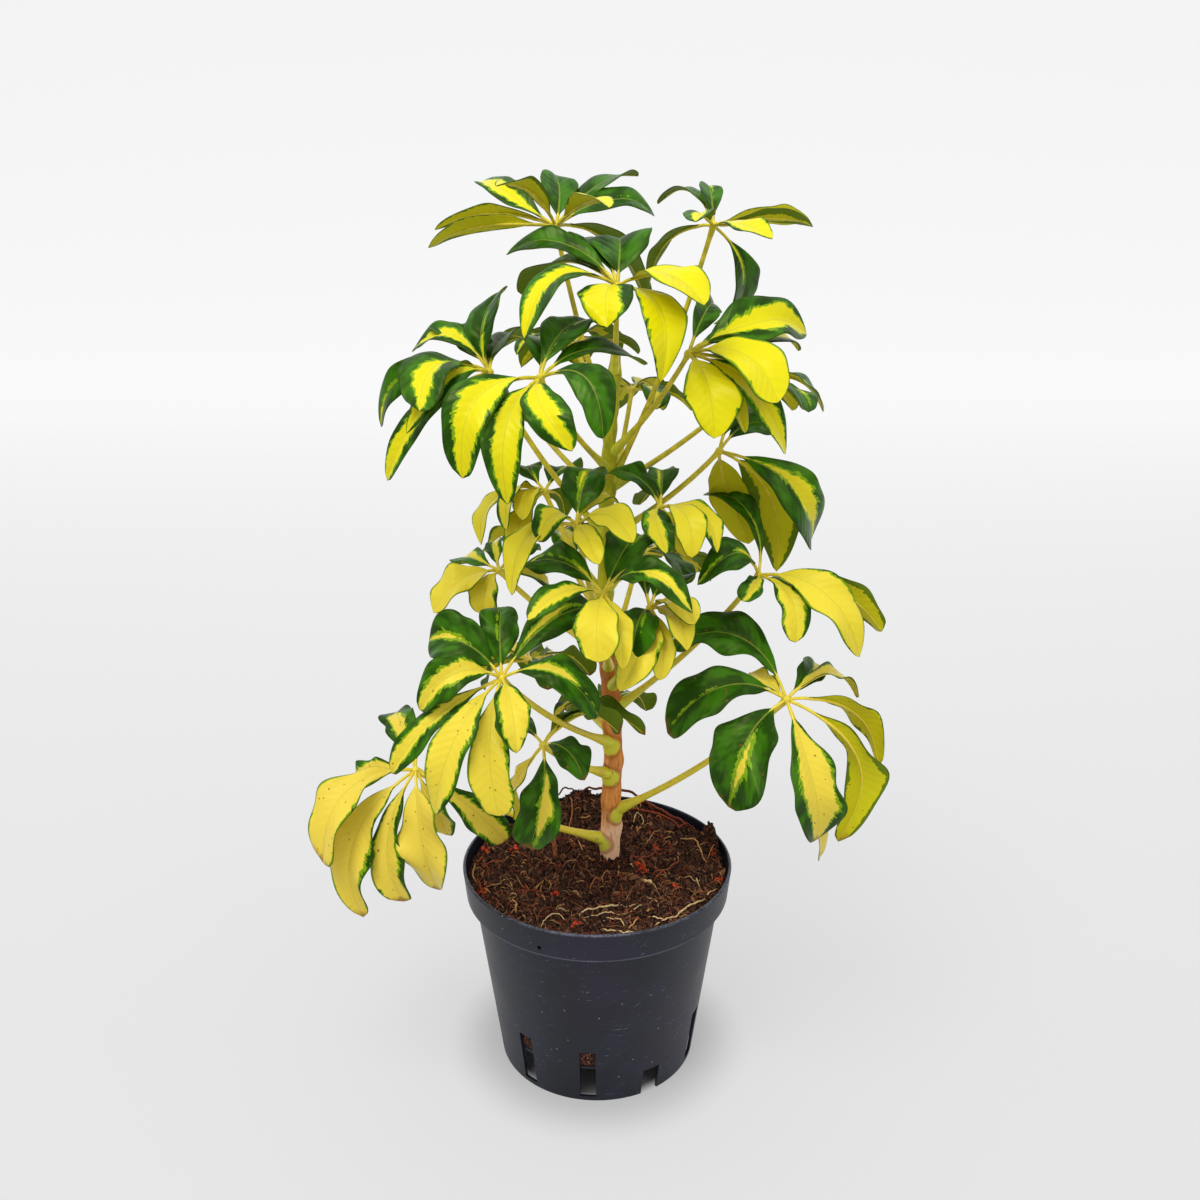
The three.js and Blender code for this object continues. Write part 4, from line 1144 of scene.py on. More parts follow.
# Leaves
# Each leaf is a long stalk that clasps the stem, with a fan of glossy leaflets at its end. A leaflet's row
# is its run from the hub to its tip, its width, how far it bows up as a share of its length, its green
# share from 0 to 1, its bend to the side as a share of its length, and its turn in degrees.
LEAVES = [
    {"hub": [-25, 20, 578], "facing": [0, 0.12, 1], "leaflets": [
        [-51, 44, 30, 22, 0.15, 0.5, -0.05, -35],
        [-76, 20, 1, 15, 0.28, 0.3, 0.05, 25],
        [-75, -30, -11, 19, 0.32, 0.15, 0.05, 40],
        [-30, -50, 24, 19, 0.3, 0.25, 0, 0],
        [-1, 38, 31, 24, 0.2, 1, 0.05, 0],
        [31, -52, 14, 20, 0.25, 0.15, -0.05, 0],
        [49, 46, 35, 19, 0.12, 1, -0.03, 20],
        [63, 30, 11, 20, 0.25, 0.95, -0.05, 40],
        [64, 60, -44, 34, 0.35, 0.97, -0.1, 0],
    ]},
    {"hub": [70, 5, 579], "facing": [0, 0.05, 1], "leaflets": [
        [-28, 60, 18, 12, 0.3, 0.9, 0.05, 0],
        [-2, 36, 24, 15, 0.3, 0.9, 0, 0],
        [-13, -34, 4, 19, 0.25, 0.7, 0.05, 0],
        [64, 35, 4, 15, 0.14, 0.05, -0.03, -35],
        [53, -43, 1, 15, 0.2, 0.5, -0.05, -30],
        [28, -54, -4, 17, 0.1, 0.18, 0.05, 0],
        [10, 45, -64, 24, 0.3, 0.85, -0.16, 130],
        [-40, 52, -34, 20, 0.3, 0.9, 0, 0],
    ]},
    {"hub": [12, -40, 547], "facing": [0.05, -0.5, 0.85], "leaflets": [
        [-65, 25, 22, 18, 0.24, 1, 0.1, 0],
        [3, 45, 26, 38, 0.3, 1, 0, 0],
        [-50, -45, -23, 24, 0.45, 0.5, 0.16, 0],
        [-6, -44, -18, 32, 0.28, 0.3, 0.08, 0],
        [45, -45, -7, 36, 0.3, 0.05, -0.1, 0],
        [25, -50, -46, 27, 0.4, 0.15, -0.14, 0],
        [-58, 55, -6, 24, 0.35, 1, 0.08, 0],
        [-27, 50, 26, 22, 0.25, 1, 0.05, 0],
    ]},
    {"hub": [54, -35, 508], "facing": [0.35, -0.35, 0.87], "leaflets": [
        [73, 25, 16, 34, 0.3, 0.5, 0.03, 0],
        [52, 6, -6, 24, 0.5, 0.95, -0.12, 0],
        [76, 48, -4, 22, 0.25, 0.3, -0.08, 25],
        [49, -40, -20, 36, 0.35, 0.1, -0.1, 15],
        [13, -40, -42, 32, 0.35, 0.05, 0.05, 0],
        [73, 18, -36, 24, 0.2, 1, -0.05, 0],
        [58, -25, -52, 22, 0.35, 0.4, -0.08, 40],
        [34, -24, -40, 18, 0.2, 0.05, 0.06, 0],
        [22, 48, 26, 18, 0.3, 1, -0.05, 0],
    ]},
    {"hub": [-63, -40, 498], "facing": [-0.3, -0.35, 0.88], "leaflets": [
        [-70, 5, -28, 17, 0.5, 0.8, 0.12, -35],
        [-57, -35, -55, 17, 0.3, 0.4, 0.08, -40],
        [-42, -44, -26, 18, 0.45, 0.5, 0.08, -40],
        [-36, -50, -12, 32, 0.45, 0.76, 0.12, 0],
        [-50, 30, 8, 19, 0.5, 0.6, 0.12, 0],
        [-34, 40, 20, 24, 0.3, 0.55, 0.05, 0],
        [-22, 56, 14, 22, 0.15, 0.4, 0.05, 0],
        [6, 22, 46, 28, 0.25, 0.85, -0.1, 0],
        [21, 45, 17, 25, 0.3, 1, -0.06, 0],
    ]},
    {"hub": [-31, -85, 501], "facing": [0, -0.6, 0.8], "leaflets": [
        [-40, -42, -42, 29, 0.4, 0.4, 0.17, 0],
        [-19, -45, -56, 22, 0.35, 0.35, 0.09, 0],
        [19, -45, -28, 24, 0.28, 0.42, 0.15, 0],
        [35, -38, -24, 22, 0.5, 1, -0.18, 0],
        [30, 45, 26, 26, 0.3, 0.9, -0.08, 0],
        [58, 36, 4, 22, 0.25, 0.97, -0.12, 0],
        [-5, 45, 17, 20, 0.3, 1, 0.06, 0],
    ]},
    {"hub": [77, -5, 444], "facing": [0.35, 0.1, 0.93], "leaflets": [
        [23, 30, -63, 30, 0.3, 0.02, -0.06, -50],
        [42, 15, -78, 36, 0.3, 0.4, 0.12, -50],
        [61, -5, -59, 34, 0.5, 0.8, -0.12, 75],
        [48, 50, -3, 26, 0.3, 0.95, -0.15, 30],
        [37, 55, 20, 24, 0.3, 1, -0.1, 0],
    ]},
    {"hub": [103, -20, 367], "facing": [0.2, -0.6, 0.75], "leaflets": [
        [-27, 50, 47, 15, 0.25, 0.9, 0.14, 0],
        [-38, -36, 9, 24, 0.5, 0.85, 0.16, 0],
        [20, -46, -24, 20, 0.3, 0.3, -0.08, 0],
        [57, -45, -37, 30, 0.45, 0.12, -0.1, 10],
        [79, -10, -32, 26, 0.25, 0.3, 0.05, -80],
        [30, 54, -36, 20, 0.2, 0.6, 0.06, 0],
        [-14, -28, -7, 14, 0.3, 0.6, -0.04, 0],
    ]},
    {"hub": [-12, -60, 411], "facing": [-0.1, -0.45, 0.88], "leaflets": [
        [8, 30, 30, 29, 0.25, 0.9, 0, 0],
        [-21, -28, 2, 20, 0.45, 0.45, 0.12, 0],
        [-37, -40, -26, 19, 0.4, 0.1, 0.14, 0],
        [24, 35, 8, 18, 0.3, 0.2, -0.08, 0],
        [31, -35, 0, 22, 0.35, 0.05, -0.12, 0],
        [14, -38, -12, 16, 0.3, 0.1, 0.02, 0],
    ]},
    {"hub": [4, -80, 374], "facing": [0, -0.5, 0.86], "leaflets": [
        [-54, 30, 8, 27, 0.3, 0.84, 0.1, 0],
        [22, 38, 30, 29, 0.25, 0.92, 0, 0],
        [47, -35, 5, 23, 0.5, 0.78, -0.12, 0],
        [-3, -42, -23, 27, 0.35, 0.12, 0.04, 0],
        [12, -38, -30, 15, 0.3, 0.1, -0.05, 0],
        [-43, -35, -1, 16, 0.3, 0.45, 0.05, 0],
    ]},
    {"hub": [32, -70, 362], "facing": [0.1, -0.4, 0.9], "leaflets": [
        [-12, -35, -15, 26, 0.35, 0.92, 0.06, 0],
        [23, -32, 6, 18, 0.35, 0.1, -0.05, 0],
        [21, -35, -9, 20, 0.35, 0.1, -0.08, 0],
        [4, -38, -28, 14, 0.2, 0.1, -0.08, 0],
        [-18, -40, -35, 24, 0.35, 0.1, -0.1, 0],
        [-4, 42, 22, 18, 0.25, 0.9, -0.06, 0],
        [26, 46, 2, 24, 0.3, 1, -0.1, 0],
    ]},
    {"hub": [-56, -95, 327], "facing": [-0.05, -0.75, 0.65], "leaflets": [
        [-45, 15, 18, 32, 0.4, 0.9, 0.12, 0],
        [-1, 30, 36, 24, 0.25, 0.93, 0, 0],
        [55, 35, 35, 23, 0.3, 0.89, -0.06, 0],
        [57, -15, -14, 23, 0.5, 0.86, -0.16, 0],
        [-46, -20, -8, 24, 0.5, 0.45, 0.14, 0],
        [-63, -30, -46, 18, 0.2, 0.45, 0.05, 0],
        [-35, -45, -65, 25, 0.4, 0.22, 0.05, 0],
        [-2, -45, -66, 25, 0.3, 0.18, 0.05, 0],
        [12, -45, -26, 21, 0.35, 0.3, -0.05, 0],
    ]},
    {"hub": [-118, -45, 242], "facing": [-0.35, -0.6, 0.72], "leaflets": [
        [-56, -45, -37, 34, 0.4, 0.1, 0.14, 0],
        [-35, -45, -81, 29, 0.35, 0.15, 0.1, 0],
        [-12, -42, -71, 25, 0.25, 0.28, 0.06, 0],
        [13, -40, -65, 37, 0.4, 0.08, -0.07, 0],
        [-20, 40, 25, 24, 0.3, 0.7, 0.08, 0],
        [3, 38, 22, 20, 0.3, 0.9, 0.03, 0],
        [-47, 25, -29, 24, 0.3, 0.3, 0.05, 0],
        [21, -5, -45, 20, 0.3, 0.3, -0.06, 0],
        [54, 15, -64, 22, 0.2, 0.35, -0.05, 0],
    ]},
    {"hub": [-34, -60, 267], "facing": [0, -0.3, 0.93], "leaflets": [
        [-9, -35, -53, 30, 0.35, 0.84, -0.1, 0],
        [26, -30, -6, 20, 0.4, 1, -0.04, 0],
        [47, 5, 12, 40, 0.58, 0.9, -0.16, -45],
        [64, 22, 6, 30, 0.4, 0.9, -0.1, -40],
        [-18, 10, -53, 24, 0.35, 0.05, -0.06, 0],
        [-31, 40, -12, 22, 0.35, 0.95, 0.06, 0],
    ]},
    {"hub": [119, -55, 296], "facing": [0.25, -0.55, 0.8], "leaflets": [
        [-71, 30, 27, 30, 0.4, 1, 0.18, 0],
        [-75, -20, -9, 32, 0.4, 0.93, 0.14, 0],
        [-38, -35, -55, 43, 0.35, 0.9, 0.14, 0],
        [24, -40, -75, 36, 0.3, 0.42, 0.08, 0],
        [49, 5, -95, 26, 0.3, 0.2, 0.18, -80],
        [68, 20, -48, 23, 0.3, 0.1, 0.1, -75],
        [50, 32, -8, 20, 0.5, 0.2, 0.08, -50],
        [26, 40, 9, 18, 0.3, 0.8, 0.02, 0],
        [27, -10, -107, 20, 0.3, 0.1, 0.05, 0],
        [-20, 25, 8, 14, 0.3, 0.2, -0.06, 0],
    ]},
    {"hub": [-66, 25, 356], "facing": [-0.2, -0.6, 0.77], "leaflets": [
        [-43, -25, -19, 30, 0.35, 0.06, 0.04, 0],
        [-8, -25, -21, 20, 0.35, 0.2, 0.06, 0],
        [-4, 30, 14, 14, 0.3, 0.5, -0.02, 0],
        [-29, 40, -2, 22, 0.3, 0.6, -0.04, 0],
        [20, 40, 8, 24, 0.3, 0.5, 0.06, 0],
        [37, 30, -29, 24, 0.3, 0.4, -0.02, 0],
    ]},
    {"hub": [-34, 15, 413], "facing": [-0.2, -0.1, 0.97], "leaflets": [
        [-40, -35, -24, 19, 0.4, 0.1, 0.2, 0],
        [-24, -40, -12, 19, 0.55, 0.3, 0.1, 0],
        [-12, -36, -6, 18, 0.35, 0.1, 0.05, 0],
        [-18, -38, -28, 18, 0.25, 0.1, 0.03, 0],
        [13, 30, -21, 18, 0.3, 0.9, 0.04, 0],
        [-16, 50, 5, 24, 0.3, 0.8, -0.06, 0],
        [21, 45, 5, 24, 0.3, 0.8, 0.02, 0],
    ]},
    {"hub": [39, -30, 414], "facing": [0.1, -0.35, 0.93], "leaflets": [
        [-12, 44, -8, 20, 0.35, 0.85, 0.06, 0],
        [2, -40, -16, 20, 0.3, 0.5, 0.12, 0],
        [17, -38, -18, 20, 0.5, 0.1, -0.08, 0],
        [35, -28, -16, 18, 0.35, 0.35, -0.12, 0],
        [4, 42, 16, 20, 0.3, 0.9, -0.01, 0],
        [-30, 12, 22, 20, 0.3, 0.95, 0.05, 0],
        [18, -13, -26, 18, 0.35, 0.1, 0.06, 0],
    ]},
    {"hub": [-15, 70, 500], "facing": [0, 0.3, 0.95], "leaflets": [
        [44, 16, -6, 26, 0.3, 0.9, 0.05, 0],
        [30, 52, -10, 26, 0.45, 0.5, -0.06, 0],
        [2, 60, -16, 28, 0.28, 0.3, 0.01, 0],
        [-38, 46, -14, 26, 0.45, 0.6, 0.05, 0],
        [-60, 8, -6, 26, 0.3, 0.9, -0.06, 0],
        [-38, -30, 4, 22, 0.3, 0.8, 0.01, 0],
    ]},
    {"hub": [24, 84, 468], "facing": [0.1, 0.35, 0.9], "leaflets": [
        [42, 4, -14, 26, 0.3, 0.8, -0.01, 0],
        [26, 48, -20, 26, 0.45, 0.3, -0.05, 0],
        [-14, 54, -20, 26, 0.35, 0.5, 0.06, 0],
        [-36, 16, -8, 24, 0.3, 0.9, -0.01, 0],
        [16, -36, -2, 22, 0.3, 0.6, -0.05, 0],
    ]},
    {"hub": [-27, 85, 364], "facing": [-0.1, 0.35, 0.9], "leaflets": [
        [-58, 10, -16, 26, 0.35, 0.2, -0.05, 0],
        [-38, 44, -22, 28, 0.35, 0.5, 0, 0],
        [4, 58, -26, 28, 0.35, 0.3, 0.05, 0],
        [44, 38, -20, 26, 0.35, 0.7, -0.05, 0],
        [8, -46, 2, 22, 0.3, 0.6, 0.01, 0],
    ]},
    {"hub": [30, 80, 352], "facing": [0.2, 0.35, 0.9], "leaflets": [
        [52, -8, -18, 26, 0.35, 0.7, -0.05, 0],
        [44, 34, -24, 28, 0.35, 0.3, 0.05, 0],
        [6, 56, -28, 28, 0.35, 0.5, 0, 0],
        [30, -44, -6, 22, 0.3, 0.9, -0.05, 0],
    ]},
    {"hub": [-48, 75, 270], "facing": [-0.2, 0.4, 0.88], "leaflets": [
        [-58, 6, -14, 28, 0.45, 0.4, 0, 0],
        [-40, 42, -24, 28, 0.35, 0.2, 0.05, 0],
        [0, 56, -30, 28, 0.35, 0.5, -0.05, 0],
        [42, 36, -22, 26, 0.35, 0.8, 0, 0],
        [-34, -38, -2, 22, 0.3, 0.7, 0.05, 0],
        [14, -44, 2, 22, 0.3, 0.9, -0.05, 0],
    ]},
    {"hub": [10, 85, 232], "facing": [0.1, 0.4, 0.9], "leaflets": [
        [28, 34, -20, 22, 0.45, 0.9, 0.05, 0],
        [0, 46, -24, 24, 0.35, 0.6, 0, 0],
        [-34, 30, -18, 24, 0.35, 0.9, -0.05, 0],
        [-42, -6, -8, 22, 0.35, 0.8, 0.05, 0],
    ]},
    {"hub": [-53, 70, 462], "facing": [-0.3, 0.35, 0.9], "leaflets": [
        [-52, 6, -12, 26, 0.45, 0.6, 0.06, 0],
        [-34, 42, -20, 26, 0.35, 0.3, -0.05, 0],
        [6, 54, -24, 26, 0.35, 0.5, -0.01, 0],
        [28, 42, -28, 24, 0.35, 0.8, 0.05, 0],
        [-30, -36, 0, 22, 0.3, 0.9, -0.05, 0],
    ]},
    {"hub": [104, 58, 478], "facing": [0.4, 0.3, 0.87], "leaflets": [
        [50, 8, -20, 26, 0.45, 0.5, 0.01, 0],
        [36, 42, -26, 26, 0.28, 0.3, -0.06, 0],
        [0, 54, -22, 26, 0.35, 0.8, 0.05, 0],
        [-30, 40, -8, 24, 0.35, 0.5, 0.01, 0],
        [34, -32, -12, 22, 0.3, 0.9, -0.06, 0],
    ]},
]
LEAF = {
    "Steps along": 34, "Steps across": 15, "Stalk sides": 10,
    "Blade thickness": 0.5 * MM, "Rib at hub": 1.1 * MM, "Rib at tip": 0.3 * MM,
    "Flare reach": 18 * MM, "Hub radius": 2.7 * MM,
}
STALK_RADIUS = {"young": 1.7 * MM, "old": 2.25 * MM}
STALK_FLARE = 0.42
BLADE_START = 0.14
BASE_TAPER = 0.98
TIP_TAPER = {"bluntest": 0.5, "sharpest": 0.82, "blunter with age": 0.15}
UNEVEN = {"young": 0.03, "with age": 0.07}
RIPPLE = {"young": 0.05, "with age": 0.16}
LEAST_HALF = 0.6 * MM
TIP_HALF = 0.15 * MM
RIB_END = 0.985
RIB_STEPS = 20
STALK_STEPS = 40
STALK_TAPER = (1.1, 0.85)
STALK_END_SWELL = 0.6 * MM
TIP_SHIFT = 0.03
TIP_HOOK = 1.0
HOOK_START = 0.66
FOLD = 0.22
WAVE = 0.1
ROLL = math.radians(8)
TWIST = math.radians(26)
YOUNG_ABOVE = 520
OLD_BELOW = 260
PLACE_TURN = 2.4
LEAF_TURN = 1.3
STALK_SPREAD = 0.1
STALK_SAG = 0.04
SHINE_COLOUR = "#fdffb0"
LEAF_COLOURS = {
    "yellow": "#d8ce0a", "butter": "#dec546", "lime": "#84aa14", "mid": "#3c760a",
    "deep": "#193f04", "vein": "#b3b945", "under_yellow": "#c8c21a", "under_green": "#617a12",
    "under_vein": "#a2a03a", "rim": "#3f4a10", "brown": "#7a4a22",
}

leaf_tree, leaf_in = geometry_tree("palmate_leaf", {
    "Stalk start": "Vector", "Stalk middle": "Vector", "Hub": "Vector", "Facing": "Vector",
    "Steps along": "Int", "Steps across": "Int", "Stalk sides": "Int",
    "Blade thickness": "Float", "Rib at hub": "Float", "Rib at tip": "Float",
    "Stalk radius": "Float", "Flare": "Float", "Flare reach": "Float", "Hub radius": "Float",
    "Age": "Float",
    "Blade material": "Material", "Stalk material": "Material",
})


def named(name, kind="FLOAT"):
    return attribute(leaf_tree, name, kind)


def repeated(shape):
    """One of the shape for each leaflet, with the leaflet's values at its points."""
    inputs = {"Points": leaf_in["Geometry"], "Instance": shape}
    copies = make(leaf_tree, "GeometryNodeInstanceOnPoints", inputs)
    return make(leaf_tree, "GeometryNodeRealizeInstances", {"Geometry": copies})


def midrib(share):
    """Place, direction and facing of a leaflet's midrib at a share of its length, and its sideways."""
    chord = named("chord", "FLOAT_VECTOR")
    length = size_of(chord)
    along = chord / vector_of(leaf_tree, length, length, length)
    facing = leaf_in["Facing"]
    level = along.made(
        "ShaderNodeVectorMath", {0: facing, 1: along}, output="Value", operation="DOT_PRODUCT",
    )
    straight_bow = worked("NORMALIZE", facing - scaled(along, level))
    straight_side = worked("CROSS_PRODUCT", along, straight_bow)
    roll_sine = sine(named("roll"))
    roll_cosine = worked("COSINE", named("roll"))
    bow = scaled(straight_bow, roll_cosine) + scaled(straight_side, roll_sine)
    side = scaled(straight_side, roll_cosine) - scaled(straight_bow, roll_sine)
    lift = named("arch") * length
    bend = named("bend") * share * (1 - share) * 4 + sine(named("turn") * 1.7) * share ** 2 * TIP_SHIFT
    hook = worked("MAXIMUM", share - HOOK_START, 0.0) ** 2
    hook = hook * (sine(named("turn") * 5) * 0.5 + 0.6) * TIP_HOOK
    place_there = leaf_in["Hub"] + scaled(chord, share) + scaled(bow, share * (1 - share) * 2 * lift)
    place_there = place_there + scaled(side, bend * length) - scaled(bow, hook * length)
    tangent = chord + scaled(bow, (1 - share * 2) * 2 * lift)
    face = worked("NORMALIZE", worked("CROSS_PRODUCT", side, tangent))
    return place_there, side, face, length


def sine(angle):
    return worked("SINE", angle)


def finished(geometry, material):
    """The geometry shaded smooth, in this material."""
    smooth = make(leaf_tree, "GeometryNodeSetShadeSmooth", {"Geometry": geometry})
    return make(leaf_tree, "GeometryNodeSetMaterial", {"Geometry": smooth, "Material": material})


def blade_half(share, tip_taper):
    """Half of a blade's width as a share of its widest."""
    u = worked("MAXIMUM", (share - BLADE_START) / (1 - BLADE_START), 0.0)
    rest = worked("MAXIMUM", 1 - u, 0.0)
    widest = worked("DIVIDE", BASE_TAPER, tip_taper + BASE_TAPER)
    most = widest ** BASE_TAPER * (1 - widest) ** tip_taper
    return u ** BASE_TAPER * rest ** tip_taper / most


# Blades: one sheet a leaflet, narrow at its own stalk, widest past its middle, folded up along the midrib
# and waved at its edges
sheet_box = make(leaf_tree, "GeometryNodeMeshCube", {
    "Size": (1, 2, 2),
    "Vertices X": leaf_in["Steps along"], "Vertices Y": leaf_in["Steps across"], "Vertices Z": 2,
})
run = position(leaf_tree).part("x") + 0.5
sheet_share = 1 - worked("MAXIMUM", 1 - run, 0.0) ** 1.3 * (1 - BLADE_START + 0.03)
sheet_box = stored(sheet_box, "share", sheet_share)
sheet_box = stored(sheet_box, "across", position(leaf_tree).part("y"))
sheet_box = stored(sheet_box, "over", position(leaf_tree).part("z"))
sheets = repeated(sheet_box)
share, across, over, turn_of = named("share"), named("across"), named("over"), named("turn")
centre, side, face, leaflet_length = midrib(share)
leaf_age = named("age")
tip_taper = between(sine(turn_of * 4) * 0.5 + 0.5, TIP_TAPER["bluntest"], TIP_TAPER["sharpest"])
tip_taper = tip_taper - leaf_age * TIP_TAPER["blunter with age"]
half = blade_half(share, tip_taper) * named("width") * 0.5
uneven = sine(share * 15 + turn_of * 2 + across * 2) * (leaf_age * UNEVEN["with age"] + UNEVEN["young"])
half = half * (uneven + sine(share * 29 + turn_of * 3 + across) * 0.02 + 0.97)
half = worked("MAXIMUM", half, LEAST_HALF)
half = half * ramp(share, 1.0, RIB_END) + TIP_HALF
flat_place = vector_of(leaf_tree, share * leaflet_length, across * half, over)
sheets = stored(sheets, "leaf_place", flat_place, "FLOAT_VECTOR")
roll = sine(turn_of * 2) * ROLL + sine(turn_of * 3.3) * share ** 2 * TWIST
wave = sine(share * 11 + turn_of + across * 1.7) * WAVE
edge = worked("ABSOLUTE", across)
trough = edge * 1.9 - edge * edge * 0.9
lift = half * (trough * (wave + FOLD) + across * sine(roll))
ripple = sine(share * 17 + turn_of * 5 + across * 2) * edge ** 2 * half
ripple = ripple * (leaf_age * RIPPLE["with age"] + RIPPLE["young"])
aside = half * across * worked("COSINE", roll)
over_midrib = lift + ripple + over * leaf_in["Blade thickness"] * 0.5
sheets = moved(sheets, Position=centre + scaled(side, aside) + scaled(face, over_midrib))
sheets = finished(sheets, leaf_in["Blade material"])

# Ribs: each leaflet's short stalk, which runs on under the blade as its midrib
rib_rod = make(leaf_tree, "GeometryNodeMeshCylinder", {
    "Vertices": 6, "Side Segments": RIB_STEPS, "Radius": 1.0, "Depth": 1.0,
})
rib_rod = stored(rib_rod, "share", position(leaf_tree).part("z") + 0.5)
rib_rod = stored(rib_rod, "round", position(leaf_tree) * (1, 1, 0), "FLOAT_VECTOR")
ribs = repeated(rib_rod)
rib_share = named("share") * RIB_END
rib_centre, rib_side, rib_face, _ = midrib(rib_share)
rib_thinning = ramp(rib_share, BLADE_START * 0.8, 0.9)
rib_radius = between(rib_thinning, leaf_in["Rib at hub"], leaf_in["Rib at tip"])
rib_round = named("round", "FLOAT_VECTOR")
rib_sink = ramp(rib_share, BLADE_START * 0.7, BLADE_START * 1.5) * rib_radius * 0.7
rib_out = scaled(rib_side, rib_round.part("x") * rib_radius)
rib_out = rib_out + scaled(rib_face, rib_round.part("y") * rib_radius - rib_sink)
ribs = moved(ribs, Position=rib_centre + rib_out)

# Stalk and hub: a round stalk, flared where it clasps the stem, and the knob that bears the leaflets
stalk_line = make(leaf_tree, "GeometryNodeCurveQuadraticBezier", {
    "Resolution": STALK_STEPS,
    "Start": leaf_in["Stalk start"], "Middle": leaf_in["Stalk middle"], "End": leaf_in["Hub"],
})
stalk_share = make(leaf_tree, "GeometryNodeSplineParameter", output="Factor")
from_stem = stalk_share.beside("Length") / leaf_in["Flare reach"]
flare = worked("EXPONENT", from_stem * from_stem * -1.0)
stalk_line = stored(stalk_line, "near_stem", flare)
stalk_radius = leaf_in["Stalk radius"] * between(stalk_share, *STALK_TAPER) + flare * leaf_in["Flare"]
stalk_radius = stalk_radius + ramp(stalk_share, 0.93, 1.0) * STALK_END_SWELL
stalk_rod = rods(leaf_tree, stalk_line, leaf_in["Stalk sides"], stalk_radius)
knob = make(leaf_tree, "GeometryNodeMeshIcoSphere", {"Radius": leaf_in["Hub radius"], "Subdivisions": 3})
knob_dents = scaled(position(leaf_tree), (noise(position(leaf_tree), 500) - 0.5) * 0.5)
knob = moved(knob, Offset=leaf_in["Hub"] + knob_dents)
stalks = make(leaf_tree, "GeometryNodeJoinGeometry", {"Geometry": ribs})
for part in (stalk_rod, knob):
    leaf_tree.links.new(stored(part, "age", leaf_in["Age"]).socket, stalks.socket.node.inputs[0])
stalks = finished(stalks, leaf_in["Stalk material"])
whole_leaf = make(leaf_tree, "GeometryNodeJoinGeometry", {"Geometry": stalks})
leaf_tree.links.new(sheets.socket, whole_leaf.socket.node.inputs[0])
ends(leaf_tree, whole_leaf)

blade_look, blade_shader, blade_place = new_material("variegated_blade", 0.3, 0.2)
blade_shader.inputs["Specular Tint"].default_value = colour(SHINE_COLOUR)
blade_tree = blade_look.node_tree


def drawn(name, output="Fac"):
    return kept_value(blade_look, name, output)


def vein_noise(run_size, cross_size, shift, detail):
    """Noise drawn out along the side veins, different on the two halves of every leaflet."""
    place_on_vein = vector_of(
        blade_tree, vein_run / run_size, across_mm / cross_size + side_sign * shift, turn_of * shift,
    )
    return noise(place_on_vein, 1.0, detail, 0.6)


# Green and yellow: the yellow fills the middle of a leaflet up to a toothed border, with lime flecks
# outside it, and the darkest green stays along the edge
leaf_place = drawn("leaf_place", "Vector")
along_mm = leaf_place.part("x") * 1000
across_mm = leaf_place.part("y") * 1000
side_sign = worked("SIGN", across_mm)
vein_run = along_mm - worked("ABSOLUTE", across_mm) * 0.8
share, across, green = drawn("share"), drawn("across"), drawn("green")
turn_of, age = drawn("turn"), drawn("age")
edge = worked("ABSOLUTE", across)
teeth = vein_noise(3.4, 22, 3, 4)
blotch = vein_noise(15, 11, 5, 2)
fleck = vein_noise(2.2, 6, 7, 3)
heart = worked("ABSOLUTE", across - sine(turn_of * 3) * between(green, 0.05, 0.28))
streak = sine(share * 6 + turn_of * 3) * green * ramp(green, 1.0, 0.8) * 0.26
yellow_half = (1 - green) ** 1.3 * 1.15 - 0.03 + streak - ramp(green, 0.85, 1.0) * 0.25
ragged = between(ramp(green, 0.7, 1.0), 0.6, 0.1)
inside = yellow_half + (teeth + blotch - 1.0) * ragged - heart
yellow_share = ramp(inside, -0.015, 0.015)
rim = ramp(edge + (teeth - 0.5) * 0.14 + blotch * 0.16, 0.99, 1.02)
lime_share = ramp(inside + (fleck - 0.5) * 0.4, -0.13, -0.1)
yellow = painted(age, LEAF_COLOURS["yellow"], LEAF_COLOURS["butter"])
greens = painted(ramp(blotch, 0.4, 0.65) * 0.7, LEAF_COLOURS["deep"], LEAF_COLOURS["mid"])
greens = painted(lime_share * 0.75, greens, LEAF_COLOURS["lime"])
top_colour = painted(yellow_share * (1 - rim), greens, yellow)
rib_width = (1 - share) * 0.55 + 0.12
rib_share = ramp(worked("ABSOLUTE", across_mm), rib_width * 1.5, rib_width * 0.6)
vein_wave = sine(vein_run * (math.tau / 5.2))
top_colour = painted(rib_share * 0.32, top_colour, LEAF_COLOURS["vein"])
# The undersides are olive in their own right. Their colours are also made brighter to paint in the light
# that shines through the leaf.
under_colour = painted(yellow_share, LEAF_COLOURS["under_green"], LEAF_COLOURS["under_yellow"])
under_veins = ramp(vein_wave, 0.9, 1.0) * 0.1
under_colour = painted(under_veins, under_colour, LEAF_COLOURS["under_vein"])
under = ramp(drawn("over"), 0.1, -0.1)
leaf_colour = painted(under, top_colour, under_colour)
leaf_colour = painted(ramp(edge, 0.965, 0.99) * 0.7, leaf_colour, LEAF_COLOURS["rim"])
spots = effect(specks, Place=blade_place, Per_metre=330.0, Share=0.2)
spot_amount = spots * ramp(age + blotch * 0.7, 0.85, 1.25) * 0.8
dry_tip = ramp(share + (teeth - 0.5) * 0.1, 0.95, 1.0) * ramp(age + blotch * 0.5, 0.9, 1.2) * 0.8
leaf_colour = painted(worked("MAXIMUM", spot_amount, dry_tip), leaf_colour, LEAF_COLOURS["brown"])
feed(blade_shader.inputs["Base Color"], leaf_colour)
feed(blade_shader.inputs["Roughness"], between(under, 0.32, 0.6) + age * 0.08 + (fleck - 0.5) * 0.12)
raised(blade_shader, vein_wave * -0.3 - rib_share * 0.8 + blotch * 0.5 + fleck * 0.3, 0.0003, 0.6)

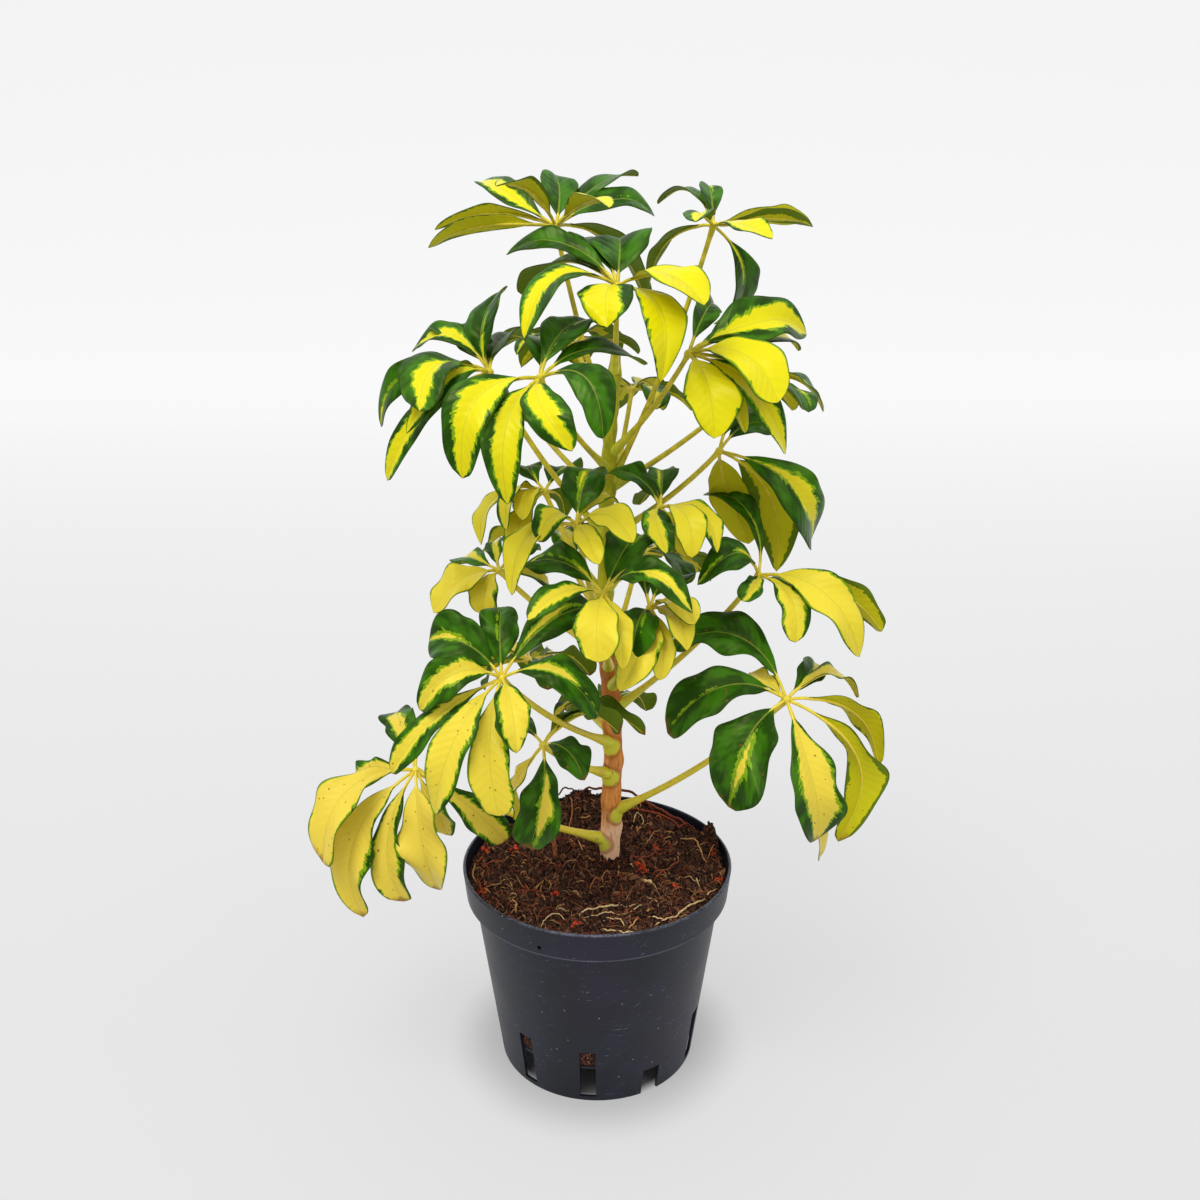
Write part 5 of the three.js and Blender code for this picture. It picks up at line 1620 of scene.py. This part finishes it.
STALK_COLOURS = {
    "olive": "#b5aa20", "yellow": "#dcc92c", "ochre": "#f2da4a", "lime": "#d2d838", "red": "#9a4a20",
}
stalk_look, stalk_shader, stalk_place = new_material("leaf_stalk", 0.42, 0.35)
near_stem = kept_value(stalk_look, "near_stem")
stalk_age = kept_value(stalk_look, "age")
stalk_streak = effect(streaks, Place=stalk_place, Stretch=(1.0, 1.0, 1.0), Per_metre=160.0)
stalk_colour = painted(ramp(stalk_streak, 0.35, 0.65), STALK_COLOURS["olive"], STALK_COLOURS["yellow"])
stalk_colour = painted(stalk_age * 0.75, stalk_colour, STALK_COLOURS["ochre"])
stalk_colour = painted(near_stem * 0.85, stalk_colour, STALK_COLOURS["lime"])
red_share = ramp(stalk_streak, 0.48, 0.6) * near_stem * ramp(stalk_age, 0.8, 1.0)
feed(stalk_shader.inputs["Base Color"], painted(red_share * 0.7, stalk_colour, STALK_COLOURS["red"]))
raised(stalk_shader, stalk_streak, 0.0002, 0.4)


def age_of(leaf):
    """0 for the young leaves at the top, 1 for the old ones low down."""
    return min(1, max(0, (YOUNG_ABOVE - leaf["hub"][2]) / (YOUNG_ABOVE - OLD_BELOW)))


def leaflet_mesh(name, leaf, number):
    """One point at the hub for each leaflet, which keeps what makes that leaflet different."""
    rows = leaf["leaflets"]
    mesh = bpy.data.meshes.new(name)
    mesh.from_pydata([at(leaf["hub"])] * len(rows), [], [])
    runs = mesh.attributes.new("chord", "FLOAT_VECTOR", "POINT")
    runs.data.foreach_set("vector", [part * MM for row in rows for part in row[:3]])
    kept = {
        "width": [row[3] * MM for row in rows],
        "arch": [row[4] for row in rows],
        "green": [row[5] for row in rows],
        "bend": [row[6] for row in rows],
        "roll": [math.radians(row[7]) for row in rows],
        "turn": [PLACE_TURN * place_in_fan + LEAF_TURN * number for place_in_fan in range(len(rows))],
        "age": [age_of(leaf)] * len(rows),
    }
    for label, numbers in kept.items():
        mesh.attributes.new(label, "FLOAT", "POINT").data.foreach_set("value", numbers)
    return mesh


for number, leaf in enumerate(LEAVES, 1):
    name = f"leaf_{number:02d}"
    start_height = LEAF_NODES[number - 1][0]
    start = Vector(stem_at(start_height))
    reach = Vector(leaf["hub"]) - start
    middle = start + reach * 0.5 + Vector((reach.x, reach.y, 0)) * STALK_SPREAD
    middle.z -= STALK_SAG * reach.length
    sizes = {label.replace(" ", "_"): value for label, value in LEAF.items()}
    age = age_of(leaf)
    stalk_radius = STALK_RADIUS["young"] * (1 - age) + STALK_RADIUS["old"] * age
    piece = grown(
        name + "_grown", leaflet_mesh(name, leaf, number), leaf_tree,
        Stalk_start=at(start), Stalk_middle=at(middle), Hub=at(leaf["hub"]),
        Facing=Vector(leaf["facing"]).normalized(), Flare=stem_radius_at(start_height) * STALK_FLARE,
        Stalk_radius=stalk_radius, Age=age,
        Blade_material=blade_look, Stalk_material=stalk_look, **sizes,
    )
    on_root(piece, "leaf", name)
